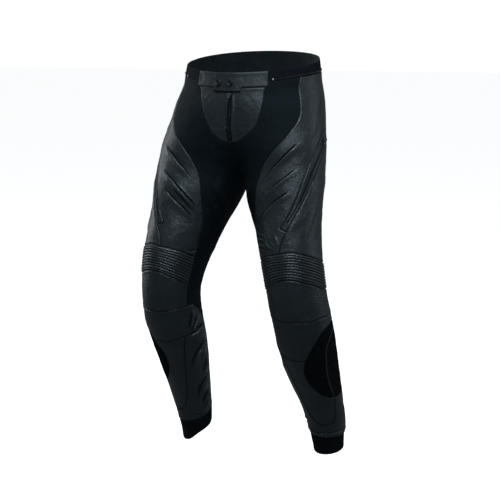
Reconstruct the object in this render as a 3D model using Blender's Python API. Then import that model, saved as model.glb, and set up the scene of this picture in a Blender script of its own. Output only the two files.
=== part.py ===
"""Motorcycle trousers, filled out as worn: cut panels of leather and stretch cloth sewn edge to edge."""

import math

import bpy
import numpy as np
from mathutils import Vector
from mathutils.geometry import delaunay_2d_cdt

MM = 0.001

# Sizes of the cloth and its joins, in mm
LEATHER = 2.0
STRETCH = 1.6
KNIT = 1.8
SEAM_GAP = 0.3
SEAM_STEP = 17.0
ROW_STEP = 26.0
COLUMN_STEP = 17.0
CLEAR = 0.3

# Cross sections of the left side, from the waist to the hem, in mm and degrees.
# drop is the distance down the garment. x, y, z is the middle of the section.
# inner, outer, front and back are its half sizes. square is 2 for an ellipse, more for a boxy outline.
# diagonal pushes the outline out towards outer-front and inner-back.
# pitch lifts the back edge of the section, roll lifts its outer edge.
SECTION_COLUMNS = (
    "drop", "x", "y", "z", "inner", "outer", "front", "back", "square", "diagonal", "pitch", "roll",
)
SECTIONS = [
    (0, 0, 0, 0, 167, 167, 118, 118, 2.10, 0.00, 11.5, 0),
    (40, 0, -3, -38, 172, 172, 122, 121, 2.10, 0.00, 11.5, 0),
    (100, 15, -15, -92, 172, 171, 113, 128, 2.20, 0.02, 8, 0),
    (160, 44, -28, -148, 140, 152, 99, 138, 2.25, 0.05, 3, 2),
    (215, 78, -43, -204, 116, 129, 86, 132, 2.25, 0.08, -3, 5),
    (265, 102, -53, -256, 101, 110, 80, 118, 2.20, 0.09, -8, 8),
    (320, 116, -66, -310, 92, 100, 82, 102, 2.15, 0.09, -12, 10),
    (380, 131, -80, -368, 83, 87, 80, 88, 2.10, 0.07, -13, 11),
    (440, 146, -95, -426, 78, 78, 80, 80, 2.05, 0.05, -13, 11),
    (500, 160, -105, -486, 73, 73, 75, 74, 2.05, 0.04, -8, 10),
    (560, 170, -102, -546, 70, 69, 73, 68, 2.10, 0.02, 4, 7),
    (620, 175, -85, -604, 70, 69, 73, 64, 2.10, 0.02, 16, 3),
    (680, 176, -64, -658, 70, 68, 66, 66, 2.05, 0.00, 22, 2),
    (740, 177, -39, -712, 65, 63, 60, 66, 2.00, 0.00, 24, 2),
    (800, 180, -13, -766, 58, 56, 54, 60, 2.00, 0.00, 24, 2),
    (860, 182, 13, -820, 50, 50, 49, 53, 2.00, 0.00, 24, 2),
    (920, 184, 35, -876, 44, 43, 44, 46, 2.00, 0.00, 20, 2),
    (985, 184, 48, -935, 37, 36, 39, 39, 2.00, 0.00, 14, 0),
    (1000, 184, 50, -950, 36, 35, 38, 38, 2.00, 0.00, 12, 0),
]
TABLE = {name: np.array([row[i] for row in SECTIONS], float) for i, name in enumerate(SECTION_COLUMNS)}

# How widely the two legs blend into each other at the middle, by drop
BLEND = np.array([
    (0, 0), (40, 0), (100, 14), (160, 24), (205, 22), (232, 14), (247, 8), (258, 1.5), (266, 0), (1000, 0),
], float)

# Meeting points of the seams on the left side: (turn, drop).
# turn is in degrees round the section, 0 front, 90 outer side, 180 back, -90 inseam.
POINTS = {
    "band corner": (42, 0),
    "band step": (42, 26),
    "band foot": (42, 38),
    "fly corner": (39, 38),
    "back band top": (140, 0),
    "back band foot": (140, 35),
    "hip front": (70, 23),
    "hip side": (105, 32),
    "strip top back": (112, 184),
    "strip top front": (91, 177),
    "strip foot front": (10, 414),
    "strip foot back": (21, 423),
    "rib top inner": (-66, 471),
    "rib top middle": (3, 468),
    "rib top outer": (130, 486),
    "rib foot inner": (-64, 537),
    "rib foot outer": (130, 549),
    "knee inner": (-61, 587),
    "knee outer": (130, 604),
    "stretch tip": (-115, 660),
    "back knee": (-132, 480),
    "patch back": (132, 640),
    "patch top": (112, 627),
    "patch side": (25, 684),
    "patch foot": (66, 824),
    "patch heel": (131, 812),
    "shin inner": (-44, 673),
    "shin tip": (20, 897),
    "hem front": (20, 934),
    "hem inner": (-120, 912),
    "hem outer": (128, 944),
    "cuff foot": (-120, 985),
}

# Where the seam below the knee lies on each leg as worn, and its shift down the leg in mm
WORN = {
    "left": {"patch side": (19, 694), "shin inner": (-42, 683), "cuff foot": (-120, 986)},
    "right": {"patch side": (31, 674), "shin inner": (-46, 662), "cuff foot": (-120, 958)},
}

# Lower edge of each cuff as worn, (turn, drop) points between its two ends at the inner back
CUFF_EDGE = {
    "left": [(-60, 987), (0, 988), (120, 987), (180, 986)],
    "right": [(-45, 971), (5, 993), (60, 995), (120, 985), (185, 968)],
}
SETTLED = {"left": 10, "right": -11}

# Seams of the left side: from one meeting point to another, with the (turn, drop) points passed on the way.
SEAMS = {
    "band end upper": ("band corner", [], "band step"),
    "band end lower": ("band step", [], "band foot"),
    "band foot end": ("fly corner", [], "band foot"),
    "waist side": ("band corner", [(90, 0)], "back band top"),
    "band back end": ("back band top", [], "back band foot"),
    "stretch top": ("band step", [(56, 24)], "hip front"),
    "thigh top": ("hip front", [(88, 27)], "hip side"),
    "seat top": ("hip side", [(122, 34)], "back band foot"),
    "stretch side": (
        "hip front",
        [(68, 44), (67, 88), (64, 130), (55, 165), (40, 198), (19, 228), (-4, 256), (-23, 283),
         (-35, 317), (-46, 351), (-55, 386), (-61, 430)],
        "rib top inner",
    ),
    "rib inner": ("rib top inner", [(-67, 500)], "rib foot inner"),
    "knee inner": ("rib foot inner", [(-62, 560)], "knee inner"),
    "stretch foot": ("knee inner", [(-80, 590), (-98, 618)], "stretch tip"),
    "stretch back low": ("stretch tip", [(-122, 620), (-128, 570), (-131, 520)], "back knee"),
    "side upper": ("hip side", [(106, 80), (108, 130)], "strip top back"),
    "side lower": ("strip top back", [(118, 240), (124, 300), (128, 380)], "rib top outer"),
    "strip top": ("strip top back", [], "strip top front"),
    "strip front": (
        "strip top front", [(75, 222), (61, 268), (53, 302), (42, 346), (28, 382)], "strip foot front",
    ),
    "strip foot": ("strip foot front", [], "strip foot back"),
    "strip back": (
        "strip top back", [(105, 204), (89, 235), (73, 280), (60, 328), (47, 366), (33, 396)],
        "strip foot back",
    ),
    "short seam": ("strip foot back", [(11, 441)], "rib top middle"),
    "rib top in": ("rib top inner", [(-33, 467)], "rib top middle"),
    "rib top out": ("rib top middle", [(25, 468), (47, 474), (90, 484)], "rib top outer"),
    "thigh back foot": ("rib top outer", [(180, 484)], "back knee"),
    "rib outer": ("rib top outer", [], "rib foot outer"),
    "rib foot": (
        "rib foot inner", [(-49, 530), (-25, 523), (4, 518), (28, 522), (55, 532), (90, 545)],
        "rib foot outer",
    ),
    "knee outer": ("rib foot outer", [], "knee outer"),
    "knee foot": (
        "knee inner", [(-36, 591), (-10, 596), (15, 598), (40, 601), (60, 601), (92, 604)], "knee outer",
    ),
    "knee tail": ("knee outer", [], "patch back"),
    "patch top back": ("patch back", [], "patch top"),
    "patch top front": ("patch top", [(100, 625), (78, 627), (60, 634), (40, 658)], "patch side"),
    "patch divide": ("patch top", [(96, 644), (69, 672), (61, 714), (59, 776)], "patch foot"),
    "patch front": (
        "patch side", [(13, 710), (9, 733), (12, 759), (26, 790), (45, 812)], "patch foot",
    ),
    "patch foot": ("patch foot", [(84, 828), (108, 827)], "patch heel"),
    "patch back": ("patch back", [(137, 690), (138, 730), (136, 780)], "patch heel"),
    "lower knee foot": ("patch side", [(0, 684), (-20, 682)], "shin inner"),
    "lower knee inner": ("shin inner", [(-68, 663), (-90, 659)], "stretch tip"),
    "shin inner": ("shin inner", [(-36, 724), (-28, 790), (-20, 840), (-6, 878)], "shin tip"),
    "shin outer": ("shin tip", [(42, 898), (57, 882), (61, 858)], "patch foot"),
    "under shin": ("shin tip", [], "hem front"),
    "calf inner": ("stretch tip", [(-118, 720), (-120, 800), (-120, 860)], "hem inner"),
    "calf outer": ("patch heel", [(129, 870)], "hem outer"),
    "hem inner": ("hem front", [(-20, 931), (-70, 922)], "hem inner"),
    "hem outer": ("hem front", [(45, 937), (95, 946)], "hem outer"),
    "hem back": ("hem outer", [(180, 932)], "hem inner"),
    "cuff seam": ("hem inner", [], "cuff foot"),
}

# Where named lines meet the middle of the garment, by drop
FLY_TOP = 38
FLY_FOOT = 200
SEAT_FOOT = 235
SEAT_TOP = 36

# Fly zip: half width of the tape, and how far the zip wanders sideways, (drop, shift), in mm
ZIP_HALF = 4.3
ZIP_CLEAR = 0.7
ZIP_WANDER = np.array([(38, 0), (60, 3.2), (82, 4.4), (106, 3.2), (136, 0), (165, -1.4), (200, 0)], float)

# Sides of the fly as worn, drawn towards the wearer's left: (turn, drop) points from its corner to its foot
FLY_SIDE = {
    "left": [(36, 80), (28, 124), (17, 157), (1, 178), (-15, 191)],
    "right": [(31, 84), (21, 125), (9, 157), (-3, 177), (-16, 190)],
}

# Thigh pleats, raised on the outside: (turn, drop) points, in mm high and half as wide as the foot
PLEATS = {
    "left": [
        ([(60, 197), (44, 224), (24, 252), (5, 274), (-10, 298)], 4.0, 7.5),
        ([(50, 266), (38, 281), (17, 305), (-8, 327), (-38, 356)], 4.0, 7.5),
        ([(36, 325), (22, 338), (2, 353), (-18, 369), (-38, 385)], 3.6, 7.5),
    ],
    "right": [
        ([(54, 218), (38, 242), (20, 262), (3, 278), (-12, 298)], 4.0, 7.5),
        ([(42, 286), (23, 306), (0, 328), (-26, 350), (-40, 364)], 4.0, 7.5),
        ([(26, 337), (6, 354), (-18, 371), (-38, 386)], 3.6, 7.5),
    ],
}

# Soft folds of the whole wall: (turn, drop) points, height and reach in mm
FOLDS = [
    ([(8, 322), (-14, 340), (-42, 366)], 2.5, 11),
    ([(-20, 400), (-2, 430), (4, 455)], 3.0, 12),
    ([(-40, 405), (-22, 430), (-12, 452)], 2.5, 10),
    ([(66, 330), (50, 372), (26, 412)], 3.0, 13),
    ([(44, 392), (22, 430)], 2.5, 11),
    ([(-60, 300), (-88, 350), (-104, 400)], 3.0, 15),
    ([(-72, 350), (-96, 400), (-110, 440)], 2.5, 14),
    ([(-92, 690), (-84, 740), (-82, 800)], 3.5, 12),
    ([(-62, 730), (-68, 790), (-78, 850)], 3.0, 11),
    ([(128, 300), (160, 380), (205, 440)], 3.0, 22),
    ([(145, 205), (170, 245), (205, 300)], 3.0, 24),
    ([(135, 560), (180, 556), (222, 562)], -3.5, 13),
    ([(140, 592), (180, 586), (220, 594)], -3.5, 13),
    ([(150, 700), (178, 740), (205, 790)], 3.0, 16),
    ([(92, 860), (110, 890), (120, 925)], 2.5, 12),
]

# Ribs over the knee
RIBS = 10
RIB_HEIGHT = 2.0

# Zip in the pocket strip
POCKET_ZIP_TOP = 196
POCKET_ZIP_FOOT = 408
POCKET_ZIP_HALF = 2.6
POCKET_ZIP_RISE = 1.2

# Waist tab and snaps, x from the middle and drop in mm
TAB_RIGHT = -42
TAB_LEFT = 52
TAB_TOP = 9
TAB_FOOT = 50
TAB_CLEAR = 0.8
TAB_CORNERS = [(TAB_RIGHT, TAB_TOP), (TAB_LEFT, TAB_TOP), (TAB_LEFT, TAB_FOOT - 5), (TAB_RIGHT, TAB_FOOT)]
SNAPS = [(-29, 27), (3, 26)]
SNAP_RADIUS = 7.0
SNAP_HEIGHT = 2.6

# Zip along the foot of the side waistband, where it starts on each side, in degrees
JOIN_START = {"left": 48, "right": 61}
JOIN_END = 137
JOIN_WIDTH = 4.0
JOIN_RISE = 1.4
JOIN_ABOVE = 1.0

# End stop of the connection zip: how far before the tape it sits, in degrees and mm, and its block
STOP_BEFORE = 1.6
STOP_ABOVE = 3.2
STOP_CUTS = [(-2.4, 2.4), (-3.0, 1.0), (0.3, 2.6)]

# Zip slider and pull, in mm
SLIDER_CUTS = [(-4.0, -2.9, -1.7, 1.7, 2.9, 4.0), (-2.0, 2.0, 8.0), (0.0, 2.4, 5.6)]
PULL_CUTS = [(-2.8, -1.4, 1.4, 2.8), (-1.1, 1.1, 3.6), (-1.1, -0.8, 0.8, 1.1)]
PULL_LENGTH = {"pocket": 24.0, "fly": 10.5}
PIVOT_OUT = 4.3
SLIDER_CLEAR = 0.4
SLIDER_BELOW = 4


def smooth(x, knots, values):
    """Values at x on a cubic curve through the knots, level where two knots are level."""
    slopes = np.gradient(values, knots)
    level = np.diff(values) == 0
    slopes[:-1][level] = 0
    slopes[1:][level] = 0
    k = np.clip(np.searchsorted(knots, x, side="right") - 1, 0, len(knots) - 2)
    span = knots[k + 1] - knots[k]
    t = (x - knots[k]) / span
    return (
        values[k] * (1 + 2 * t) * (1 - t) ** 2
        + slopes[k] * span * t * (1 - t) ** 2
        + values[k + 1] * t * t * (3 - 2 * t)
        + slopes[k + 1] * span * t * t * (t - 1)
    )


def plain(turn, drop):
    """Points of one leg's outside before the two legs are blended at the middle."""
    turn, drop = np.broadcast_arrays(np.asarray(turn, float), np.asarray(drop, float))
    at = {name: smooth(drop, TABLE["drop"], TABLE[name]) for name in SECTION_COLUMNS[1:]}
    angle = np.radians(turn)
    side, ahead = np.sin(angle), np.cos(angle)
    half_x = np.where(side > 0, at["outer"], at["inner"])
    half_y = np.where(ahead > 0, at["front"], at["back"])
    power = at["square"]
    reach = (np.abs(side / half_x) ** power + np.abs(ahead / half_y) ** power) ** (-1 / power)
    reach = reach * (1 + at["diagonal"] * np.sin(2 * angle))
    out, back = reach * side, -reach * ahead
    pitch, roll = np.radians(at["pitch"]), np.radians(at["roll"])
    x = at["x"] + out * np.cos(roll)
    y = at["y"] + back * np.cos(pitch)
    z = at["z"] + out * np.sin(roll) + back * np.sin(pitch)
    return np.stack([x, y, z], axis=-1)


def body(turn, drop):
    """Points of the garment's left outside, in mm."""
    points = plain(turn, drop)
    blend = np.interp(drop, BLEND[:, 0], BLEND[:, 1])
    x = points[..., 0]
    points[..., 0] = np.sign(x) * np.sqrt(np.maximum(x * x - blend * blend, 0))
    return points


def outward(turn, drop):
    """Unit normals of the garment's left outside."""
    turn, drop = np.asarray(turn, float), np.asarray(drop, float)
    low, high = TABLE["drop"][0], TABLE["drop"][-1]
    round_it = body(turn + 1.5, drop) - body(turn - 1.5, drop)
    down = body(turn, np.clip(drop + 2, low, high)) - body(turn, np.clip(drop - 2, low, high))
    normal = np.cross(down, round_it)
    return normal / np.linalg.norm(normal, axis=-1, keepdims=True)


def girth(drop):
    """Mean half size of the section at a drop, in mm."""
    drop = np.asarray(drop, float)
    sizes = [smooth(drop, TABLE["drop"], TABLE[name]) for name in ("inner", "outer", "front", "back")]
    return np.mean(sizes, axis=0)


def turn_at(x, drop, back=False):
    """Turn of the point that lies x from the middle plane, on the front or the back."""
    low, high = (-179.9, -100.0) if back else (-85.0, 45.0)
    if back and drop < 120:
        low = -184.0
    for _ in range(40):
        middle = (low + high) / 2
        blend = np.interp(drop, BLEND[:, 0], BLEND[:, 1])
        across = float(plain(middle, drop)[0])
        found = math.copysign(math.sqrt(max(across * across - blend * blend, 0)), across)
        beyond = found > x if across > blend or across < 0 else False
        if beyond == back:
            low = middle
        else:
            high = middle
    return (low + high) / 2


def crotch_drop(turn):
    """Drop at which a line of constant turn crosses the middle plane."""
    low, high = 40.0, 320.0
    for _ in range(40):
        middle = (low + high) / 2
        if float(plain(turn, middle)[0]) > np.interp(middle, BLEND[:, 0], BLEND[:, 1]):
            high = middle
        else:
            low = middle
    return (low + high) / 2


def curve(controls):
    """Smooth curve through (turn, drop) points, cut into equal steps on the cloth."""
    p = np.array(controls, float)
    p[:, 0] = np.degrees(np.unwrap(np.radians(p[:, 0])))
    if len(p) > 2:
        ends = np.vstack([2 * p[0] - p[1], p, 2 * p[-1] - p[-2]])
        t = np.linspace(0, 1, 12, endpoint=False)[:, None]
        spans = []
        for a, b, c, d in zip(ends[:-3], ends[1:-2], ends[2:-1], ends[3:]):
            spans.append(0.5 * (2 * b + (c - a) * t + (2 * a - 5 * b + 4 * c - d) * t**2
                                + (3 * b - a - 3 * c + d) * t**3))
        p = np.vstack(spans + [p[-1:]])
    else:
        p = p[0] + (p[1] - p[0]) * np.linspace(0, 1, 24)[:, None]
    return steps(p, SEAM_STEP)


def steps(p, size):
    """A fine (turn, drop) line cut again into equal steps of about the given size."""
    where = body(p[:, 0], p[:, 1])
    run = np.concatenate([[0], np.cumsum(np.linalg.norm(np.diff(where, axis=0), axis=1))])
    count = max(1, round(run[-1] / size))
    at = np.linspace(0, run[-1], count + 1)
    return np.stack([np.interp(at, run, p[:, 0]), np.interp(at, run, p[:, 1])], axis=-1)


def wander(drop):
    """Sideways shift of the fly zip at a drop."""
    return smooth(np.asarray(drop, float), ZIP_WANDER[:, 0], ZIP_WANDER[:, 1])


def fly_edge(side):
    """Edge of a fly half beside the zip, for the left (1) or right (-1) half."""
    drops = np.linspace(FLY_TOP, FLY_FOOT, 25)
    return steps(np.array([(turn_at(ZIP_HALF + side * float(wander(d)), d), d) for d in drops]), SEAM_STEP)


def all_seams(word):
    """Every seam of one side, as a (turn, drop) line of the left side."""
    points = {**POINTS, **WORN[word]}
    lines = {}
    for name, (start, passed, end) in SEAMS.items():
        if name == "lower knee foot":
            passed = [(turn, drop + SETTLED[word]) for turn, drop in passed]
        lines[name] = curve([points[start], *passed, points[end]])
    front, back = turn_at(0, FLY_FOOT), turn_at(0, SEAT_FOOT, back=True)
    zip_foot = turn_at(ZIP_HALF, FLY_FOOT)
    zip_top = turn_at(ZIP_HALF, FLY_TOP)
    lines["waist front"] = curve([(0, 0), (21, 0), points["band corner"]])
    lines["band middle"] = curve([(0, 0), (0, FLY_TOP)])
    lines["band foot inner"] = np.array([(0, FLY_TOP), (zip_top, FLY_TOP)])
    lines["band foot"] = curve([(zip_top, FLY_TOP), (24, FLY_TOP), points["fly corner"]])
    lines["fly side"] = curve([points["fly corner"], *FLY_SIDE[word], (zip_foot, FLY_FOOT)])
    lines["zip foot"] = np.array([(zip_foot, FLY_FOOT), (front, FLY_FOOT)])
    turns = np.linspace(front, back, 60)
    path = np.array([(t, crotch_drop(t)) for t in turns])
    path[0], path[-1] = (front, FLY_FOOT), (back, SEAT_FOOT)
    lines["crotch"] = steps(path, SEAM_STEP)
    lines["stretch back"] = curve(
        [points["back knee"], (-133, 420), (-134, 360), (-138, 300), (-144, 262), (back, SEAT_FOOT)]
    )
    drops = np.linspace(SEAT_FOOT, SEAT_TOP, 40)
    path = np.array([(turn_at(0, d, back=True), d) for d in drops])
    path[-1] = (-180, SEAT_TOP)
    lines["seat middle"] = steps(path, SEAM_STEP)
    lines["seat top back"] = curve([points["back band foot"], (160, 35.8), (180, SEAT_TOP)])
    lines["waist back"] = curve([points["back band top"], (180, 0), (220, 0)])
    other = lines["seat top back"][::-1].copy()
    other[:, 0] = 360 - other[:, 0]
    lines["seat top right"] = other
    end = lines["band back end"][::-1].copy()
    end[:, 0] = 360 - end[:, 0]
    lines["band back end right"] = end
    foot = points["cuff foot"][1]
    lines["cuff foot"] = curve([(-120, foot), *CUFF_EDGE[word], (240, foot)])
    return lines


LINES = {}


def loop(*names):
    """Seams joined end to end into one closed outline. A minus sign runs a seam backwards."""
    outline = []
    for name in names:
        line = name if isinstance(name, np.ndarray) else LINES[name.lstrip("-")]
        line = line.copy()
        if isinstance(name, str) and name.startswith("-"):
            line = line[::-1].copy()
        if outline:
            line[:, 0] += 360 * round((outline[-1][0] - line[0, 0]) / 360)
            assert abs(outline[-1] - line[0]).max() < 0.5, name
            line = line[1:]
        outline.extend(line)
    assert abs(outline[0] - outline[-1]).max() < 0.5, names
    return np.array(outline[:-1])


def flat(points, middle):
    """(turn, drop) points laid out in mm for meshing."""
    points = np.asarray(points, float)
    return np.stack([np.radians(points[..., 0] - middle) * girth(points[..., 1]), points[..., 1]], axis=-1)


def inside(points, outline):
    """Which of the flat points lie inside a flat outline."""
    x, y = points[:, 0][:, None], points[:, 1][:, None]
    x1, y1 = outline[:, 0], outline[:, 1]
    x2, y2 = np.roll(x1, -1), np.roll(y1, -1)
    crosses = (y1 > y) != (y2 > y)
    with np.errstate(divide="ignore", invalid="ignore"):
        hit = x < (x2 - x1) * (y - y1) / (y2 - y1) + x1
    return (np.sum(crosses & hit, axis=1) % 2) == 1


def away(points, line, closed):
    """Distance of flat points from a flat line."""
    a = line if closed else line[:-1]
    b = np.roll(line, -1, axis=0) if closed else line[1:]
    along = b - a
    t = np.sum((points[:, None] - a) * along, axis=2) / np.maximum(np.sum(along * along, axis=1), 1e-9)
    near = a + np.clip(t, 0, 1)[..., None] * along
    return np.linalg.norm(points[:, None] - near, axis=2).min(axis=1)


def soft_folds(points):
    """Height of the soft folds at (turn, drop) points."""
    points = np.atleast_2d(points)
    total = np.zeros(len(points))
    for path, height, reach in FOLDS:
        path = np.array(path, float)
        middle = path[:, 0].mean()
        turned = points.copy()
        turned[:, 0] = (points[:, 0] - middle + 180) % 360 - 180 + middle
        line = flat(path, middle)
        gap = away(flat(turned, middle), line, closed=False)
        total += height * np.exp(-((gap / reach) ** 2))
    return total


def lattice(outline, middle, row_step, column_step):
    """Points spread over the inside of a (turn, drop) outline."""
    rows = []
    low, high = outline[:, 1].min(), outline[:, 1].max()
    left, right = outline[:, 0].min(), outline[:, 0].max()
    for k, drop in enumerate(np.arange(math.ceil(low / row_step), high / row_step) * row_step):
        turn_step = math.degrees(column_step / float(girth(drop)))
        turns = np.arange(math.floor(left / turn_step), right / turn_step + 1) * turn_step
        rows.append(np.stack([turns + turn_step / 2 * (k % 2), np.full(len(turns), drop)], axis=-1))
    return np.vstack(rows) if rows else np.zeros((0, 2))


def ridge_lines(path, half, height, middle):
    """Crest and foot lines of one pleat, as (turn, drop, rise) rows."""
    fine = steps(curve_fine(path), 15)
    line = flat(fine, middle)
    along = np.gradient(line, axis=0)
    along /= np.linalg.norm(along, axis=1, keepdims=True)
    across = np.stack([-along[:, 1], along[:, 0]], axis=-1)
    t = np.linspace(0, 1, len(fine))
    swell = np.sin(np.pi * t) ** 0.5
    swell[0] = swell[-1] = 0
    crest = np.column_stack([fine, height * swell])
    feet = []
    for sign in (-1, 1):
        foot = line + sign * across * half * (0.35 + 0.65 * swell[:, None])
        turn = np.degrees(foot[:, 0] / girth(foot[:, 1])) + middle
        feet.append(np.column_stack([turn, foot[:, 1], np.zeros(len(foot))])[1:-1])
    return crest, feet


def curve_fine(path):
    """A few (turn, drop) points joined by a fine smooth line."""
    p = np.array(path, float)
    t = np.linspace(0, len(p) - 1, 20 * (len(p) - 1) + 1)
    knots = np.arange(len(p), dtype=float)
    return np.stack([smooth(t, knots, p[:, 0]), smooth(t, knots, p[:, 1])], axis=-1)


def triangulate(points, middle, count, chains):
    """Triangles inside the first count points taken as a closed outline, keeping the chains as edges."""
    laid = [Vector(p) for p in flat(points[:, :2], middle)]
    edges = [(i, (i + 1) % count) for i in range(count)]
    for chain in chains:
        edges.extend(zip(chain[:-1], chain[1:]))
    result = delaunay_2d_cdt(laid, edges, [], 1, 1e-5)
    first = [sources[0] for sources in result[3]]
    triangles = []
    for face in result[2]:
        a, b, c = (first[i] for i in face)
        pa, pb, pc = laid[a], laid[b], laid[c]
        area = (pb.x - pa.x) * (pc.y - pa.y) - (pb.y - pa.y) * (pc.x - pa.x)
        triangles.append((a, c, b) if area > 0 else (a, b, c))
    return triangles


def material(name, colour, roughness, metallic=0.0):
    """A plain surface."""
    made = bpy.data.materials.get(name) or bpy.data.materials.new(name)
    made.use_nodes = True
    shader = made.node_tree.nodes["Principled BSDF"]
    shader.inputs["Base Color"].default_value = (*colour, 1.0)
    shader.inputs["Roughness"].default_value = roughness
    shader.inputs["Metallic"].default_value = metallic
    made.diffuse_color = (*colour, 1.0)
    return made


def add(name, points, faces, surface, side=1, origin=(0, 0, 0)):
    """A named object from points in mm, mirrored to the right side when side is -1."""
    points = np.array(points, float)
    points[:, 0] *= side
    origin = np.array(origin, float) * (side, 1, 1)
    if side < 0:
        faces = [tuple(reversed(f)) for f in faces]
    mesh = bpy.data.meshes.new(name)
    mesh.from_pydata([tuple(p) for p in (points - origin) * MM], [], [tuple(f) for f in faces])
    mesh.update()
    mesh.materials.append(surface)
    made = bpy.data.objects.new(name, mesh)
    made.location = tuple(origin * MM)
    bpy.context.scene.collection.objects.link(made)
    return made


def inset(points, normals, amount):
    """Outline points moved inwards over the cloth by the same amount on every edge."""
    before = points - np.roll(points, 1, axis=0)
    after = np.roll(points, -1, axis=0) - points
    ins = []
    for edge in (before, after):
        turned = np.cross(normals, edge)
        ins.append(turned / np.linalg.norm(turned, axis=1, keepdims=True))
    both = ins[0] + ins[1]
    share = np.maximum(np.sum(both * ins[0], axis=1, keepdims=True), 0.35)
    return points + both / share * amount


def panel(name, outline, wall, surface, side=1, pleats=(), ribs=None, inlays=(), lift=0.0,
          row_step=ROW_STEP, column_step=COLUMN_STEP, folded=True):
    """One cut piece: outer points on the garment's outside, a plain inner wall, and sewn edges between."""
    middle = (outline[:, 0].min() + outline[:, 0].max()) / 2
    laid = flat(outline, middle)
    x, y = laid[:, 0], laid[:, 1]
    if np.sum(x * np.roll(y, -1) - np.roll(x, -1) * y) > 0:
        outline = outline[::-1].copy()
        laid = laid[::-1].copy()
    count = len(outline)
    fixed = [np.column_stack([outline, np.zeros(count)])]
    chains = []
    lines = []
    total = count
    for path, height, half in pleats:
        crest, feet = ridge_lines(path, half, height, middle)
        start = total
        fixed.append(crest)
        total += len(crest)
        chains.append(list(range(start, total)))
        for foot in feet:
            chains.append([start, *range(total, total + len(foot)), start + len(crest) - 1])
            fixed.append(foot)
            total += len(foot)
        lines.append((flat(crest[:, :2], middle), half + 4))
    if ribs is not None:
        for row in ribs:
            fixed.append(row)
            chains.append(list(range(total, total + len(row))))
            total += len(row)
            lines.append((flat(row[:, :2], middle), 4.0))
    zones = []
    for inlay in inlays:
        ring = inlay[1]
        fixed.append(np.column_stack([ring, np.zeros(len(ring))]))
        chains.append([*range(total, total + len(ring)), total])
        total += len(ring)
        zones.append(flat(ring, middle))
        lines.append((flat(np.vstack([ring, ring[:1]]), middle), 5.0))
    spread = lattice(outline, middle, row_step, column_step)
    inner_extra = np.zeros((0, 2))
    if len(spread):
        where = flat(spread, middle)
        keep = inside(where, laid)
        spread, where = spread[keep], where[keep]
    if len(spread):
        keep = away(where, laid, closed=True) > 0.45 * column_step
        spread, where = spread[keep], where[keep]
        inner_extra = spread
        for line, gap in lines:
            if len(spread):
                keep = away(where, line, closed=False) > gap
                spread, where = spread[keep], where[keep]
    outer = np.vstack(fixed + [np.column_stack([spread, np.zeros(len(spread))])])
    inner = np.vstack([outline, inner_extra])
    outer_faces = triangulate(outer, middle, count, chains)
    inner_faces = triangulate(inner, middle, count, [])

    def place(params, rise):
        points = body(params[:, 0], params[:, 1])
        normals = outward(params[:, 0], params[:, 1])
        points[:count] = inset(points[:count], normals[:count], SEAM_GAP / 2)
        bulge = soft_folds(params[:, :2]) if folded else 0
        return points + normals * np.reshape(rise + lift + bulge, (-1, 1)), normals

    top, normals = place(outer, outer[:, 2])
    bottom, _ = place(inner, -wall)
    points = np.vstack([top, bottom])
    n = len(top)
    faces = list(outer_faces) + [(a + n, c + n, b + n) for a, b, c in inner_faces]
    for i in range(count):
        j = (i + 1) % count
        faces.append((j, i, i + n))
        faces.append((j, i + n, j + n))
    made = add(name, points, faces, surface, side)
    for (title, ring, rise, shade), zone in zip(inlays, zones):
        laid_outer = flat(outer[:, :2], middle)
        middles = np.array([laid_outer[list(f)].mean(axis=0) for f in outer_faces])
        chosen = [f for f, ok in zip(outer_faces, inside(middles, zone)) if ok]
        raise_up(title, top, normals, chosen, rise, shade, side)
    return made


def raise_up(name, points, normals, triangles, rise, surface, side):
    """A trim piece made from a panel's own triangles, moved out."""
    used = sorted({i for t in triangles for i in t})
    index = {i: k for k, i in enumerate(used)}
    low = points[used] + normals[used] * CLEAR
    high = low + normals[used] * rise
    n = len(used)
    faces = [tuple(index[i] for i in t) for t in triangles]
    edges = {}
    for a, b, c in faces:
        for edge in ((a, b), (b, c), (c, a)):
            edges[edge] = True
    walls = []
    for a, b in edges:
        if (b, a) not in edges:
            walls.append((b, a, a + n))
            walls.append((b, a + n, b + n))
    faces = faces + [(a + n, c + n, b + n) for a, b, c in faces] + walls
    add(name, np.vstack([high, low]), faces, surface, side)


def between(upper, lower, share, start, end, count):
    """Row of (turn, drop) points a share of the way from one seam to another."""
    turns = np.linspace(start, end, count)
    top = np.interp(turns, upper[:, 0], upper[:, 1])
    foot = np.interp(turns, lower[:, 0], lower[:, 1])
    return np.stack([turns, top + (foot - top) * share], axis=-1)


def rib_rows():
    """Crests and hollows of the ribs over the knee, as (turn, drop, rise) rows."""
    upper = loop_line("rib top in", "rib top out")
    lower = LINES["rib foot"]
    rows = []
    for k in range(2 * RIBS - 1):
        share = (k + 1) / (2 * RIBS)
        row = between(upper, lower, share, -60, 124, 13)
        rise = RIB_HEIGHT if k % 2 == 0 else 0.0
        rows.append(np.column_stack([row, np.full(len(row), rise)]))
    return rows


def loop_line(*names):
    """Seams joined end to end into one open line."""
    line = LINES[names[0]]
    for name in names[1:]:
        line = np.vstack([line, LINES[name][1:]])
    return line


def ribbon(line, half):
    """Outline of a strip of even width along a (turn, drop) line."""
    middle = line[:, 0].mean()
    laid = flat(line, middle)
    along = np.gradient(laid, axis=0)
    along /= np.linalg.norm(along, axis=1, keepdims=True)
    across = np.stack([-along[:, 1], along[:, 0]], axis=-1) * half
    ring = np.vstack([laid + across, (laid - across)[::-1]])
    return np.stack([np.degrees(ring[:, 0] / girth(ring[:, 1])) + middle, ring[:, 1]], axis=-1)


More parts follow.
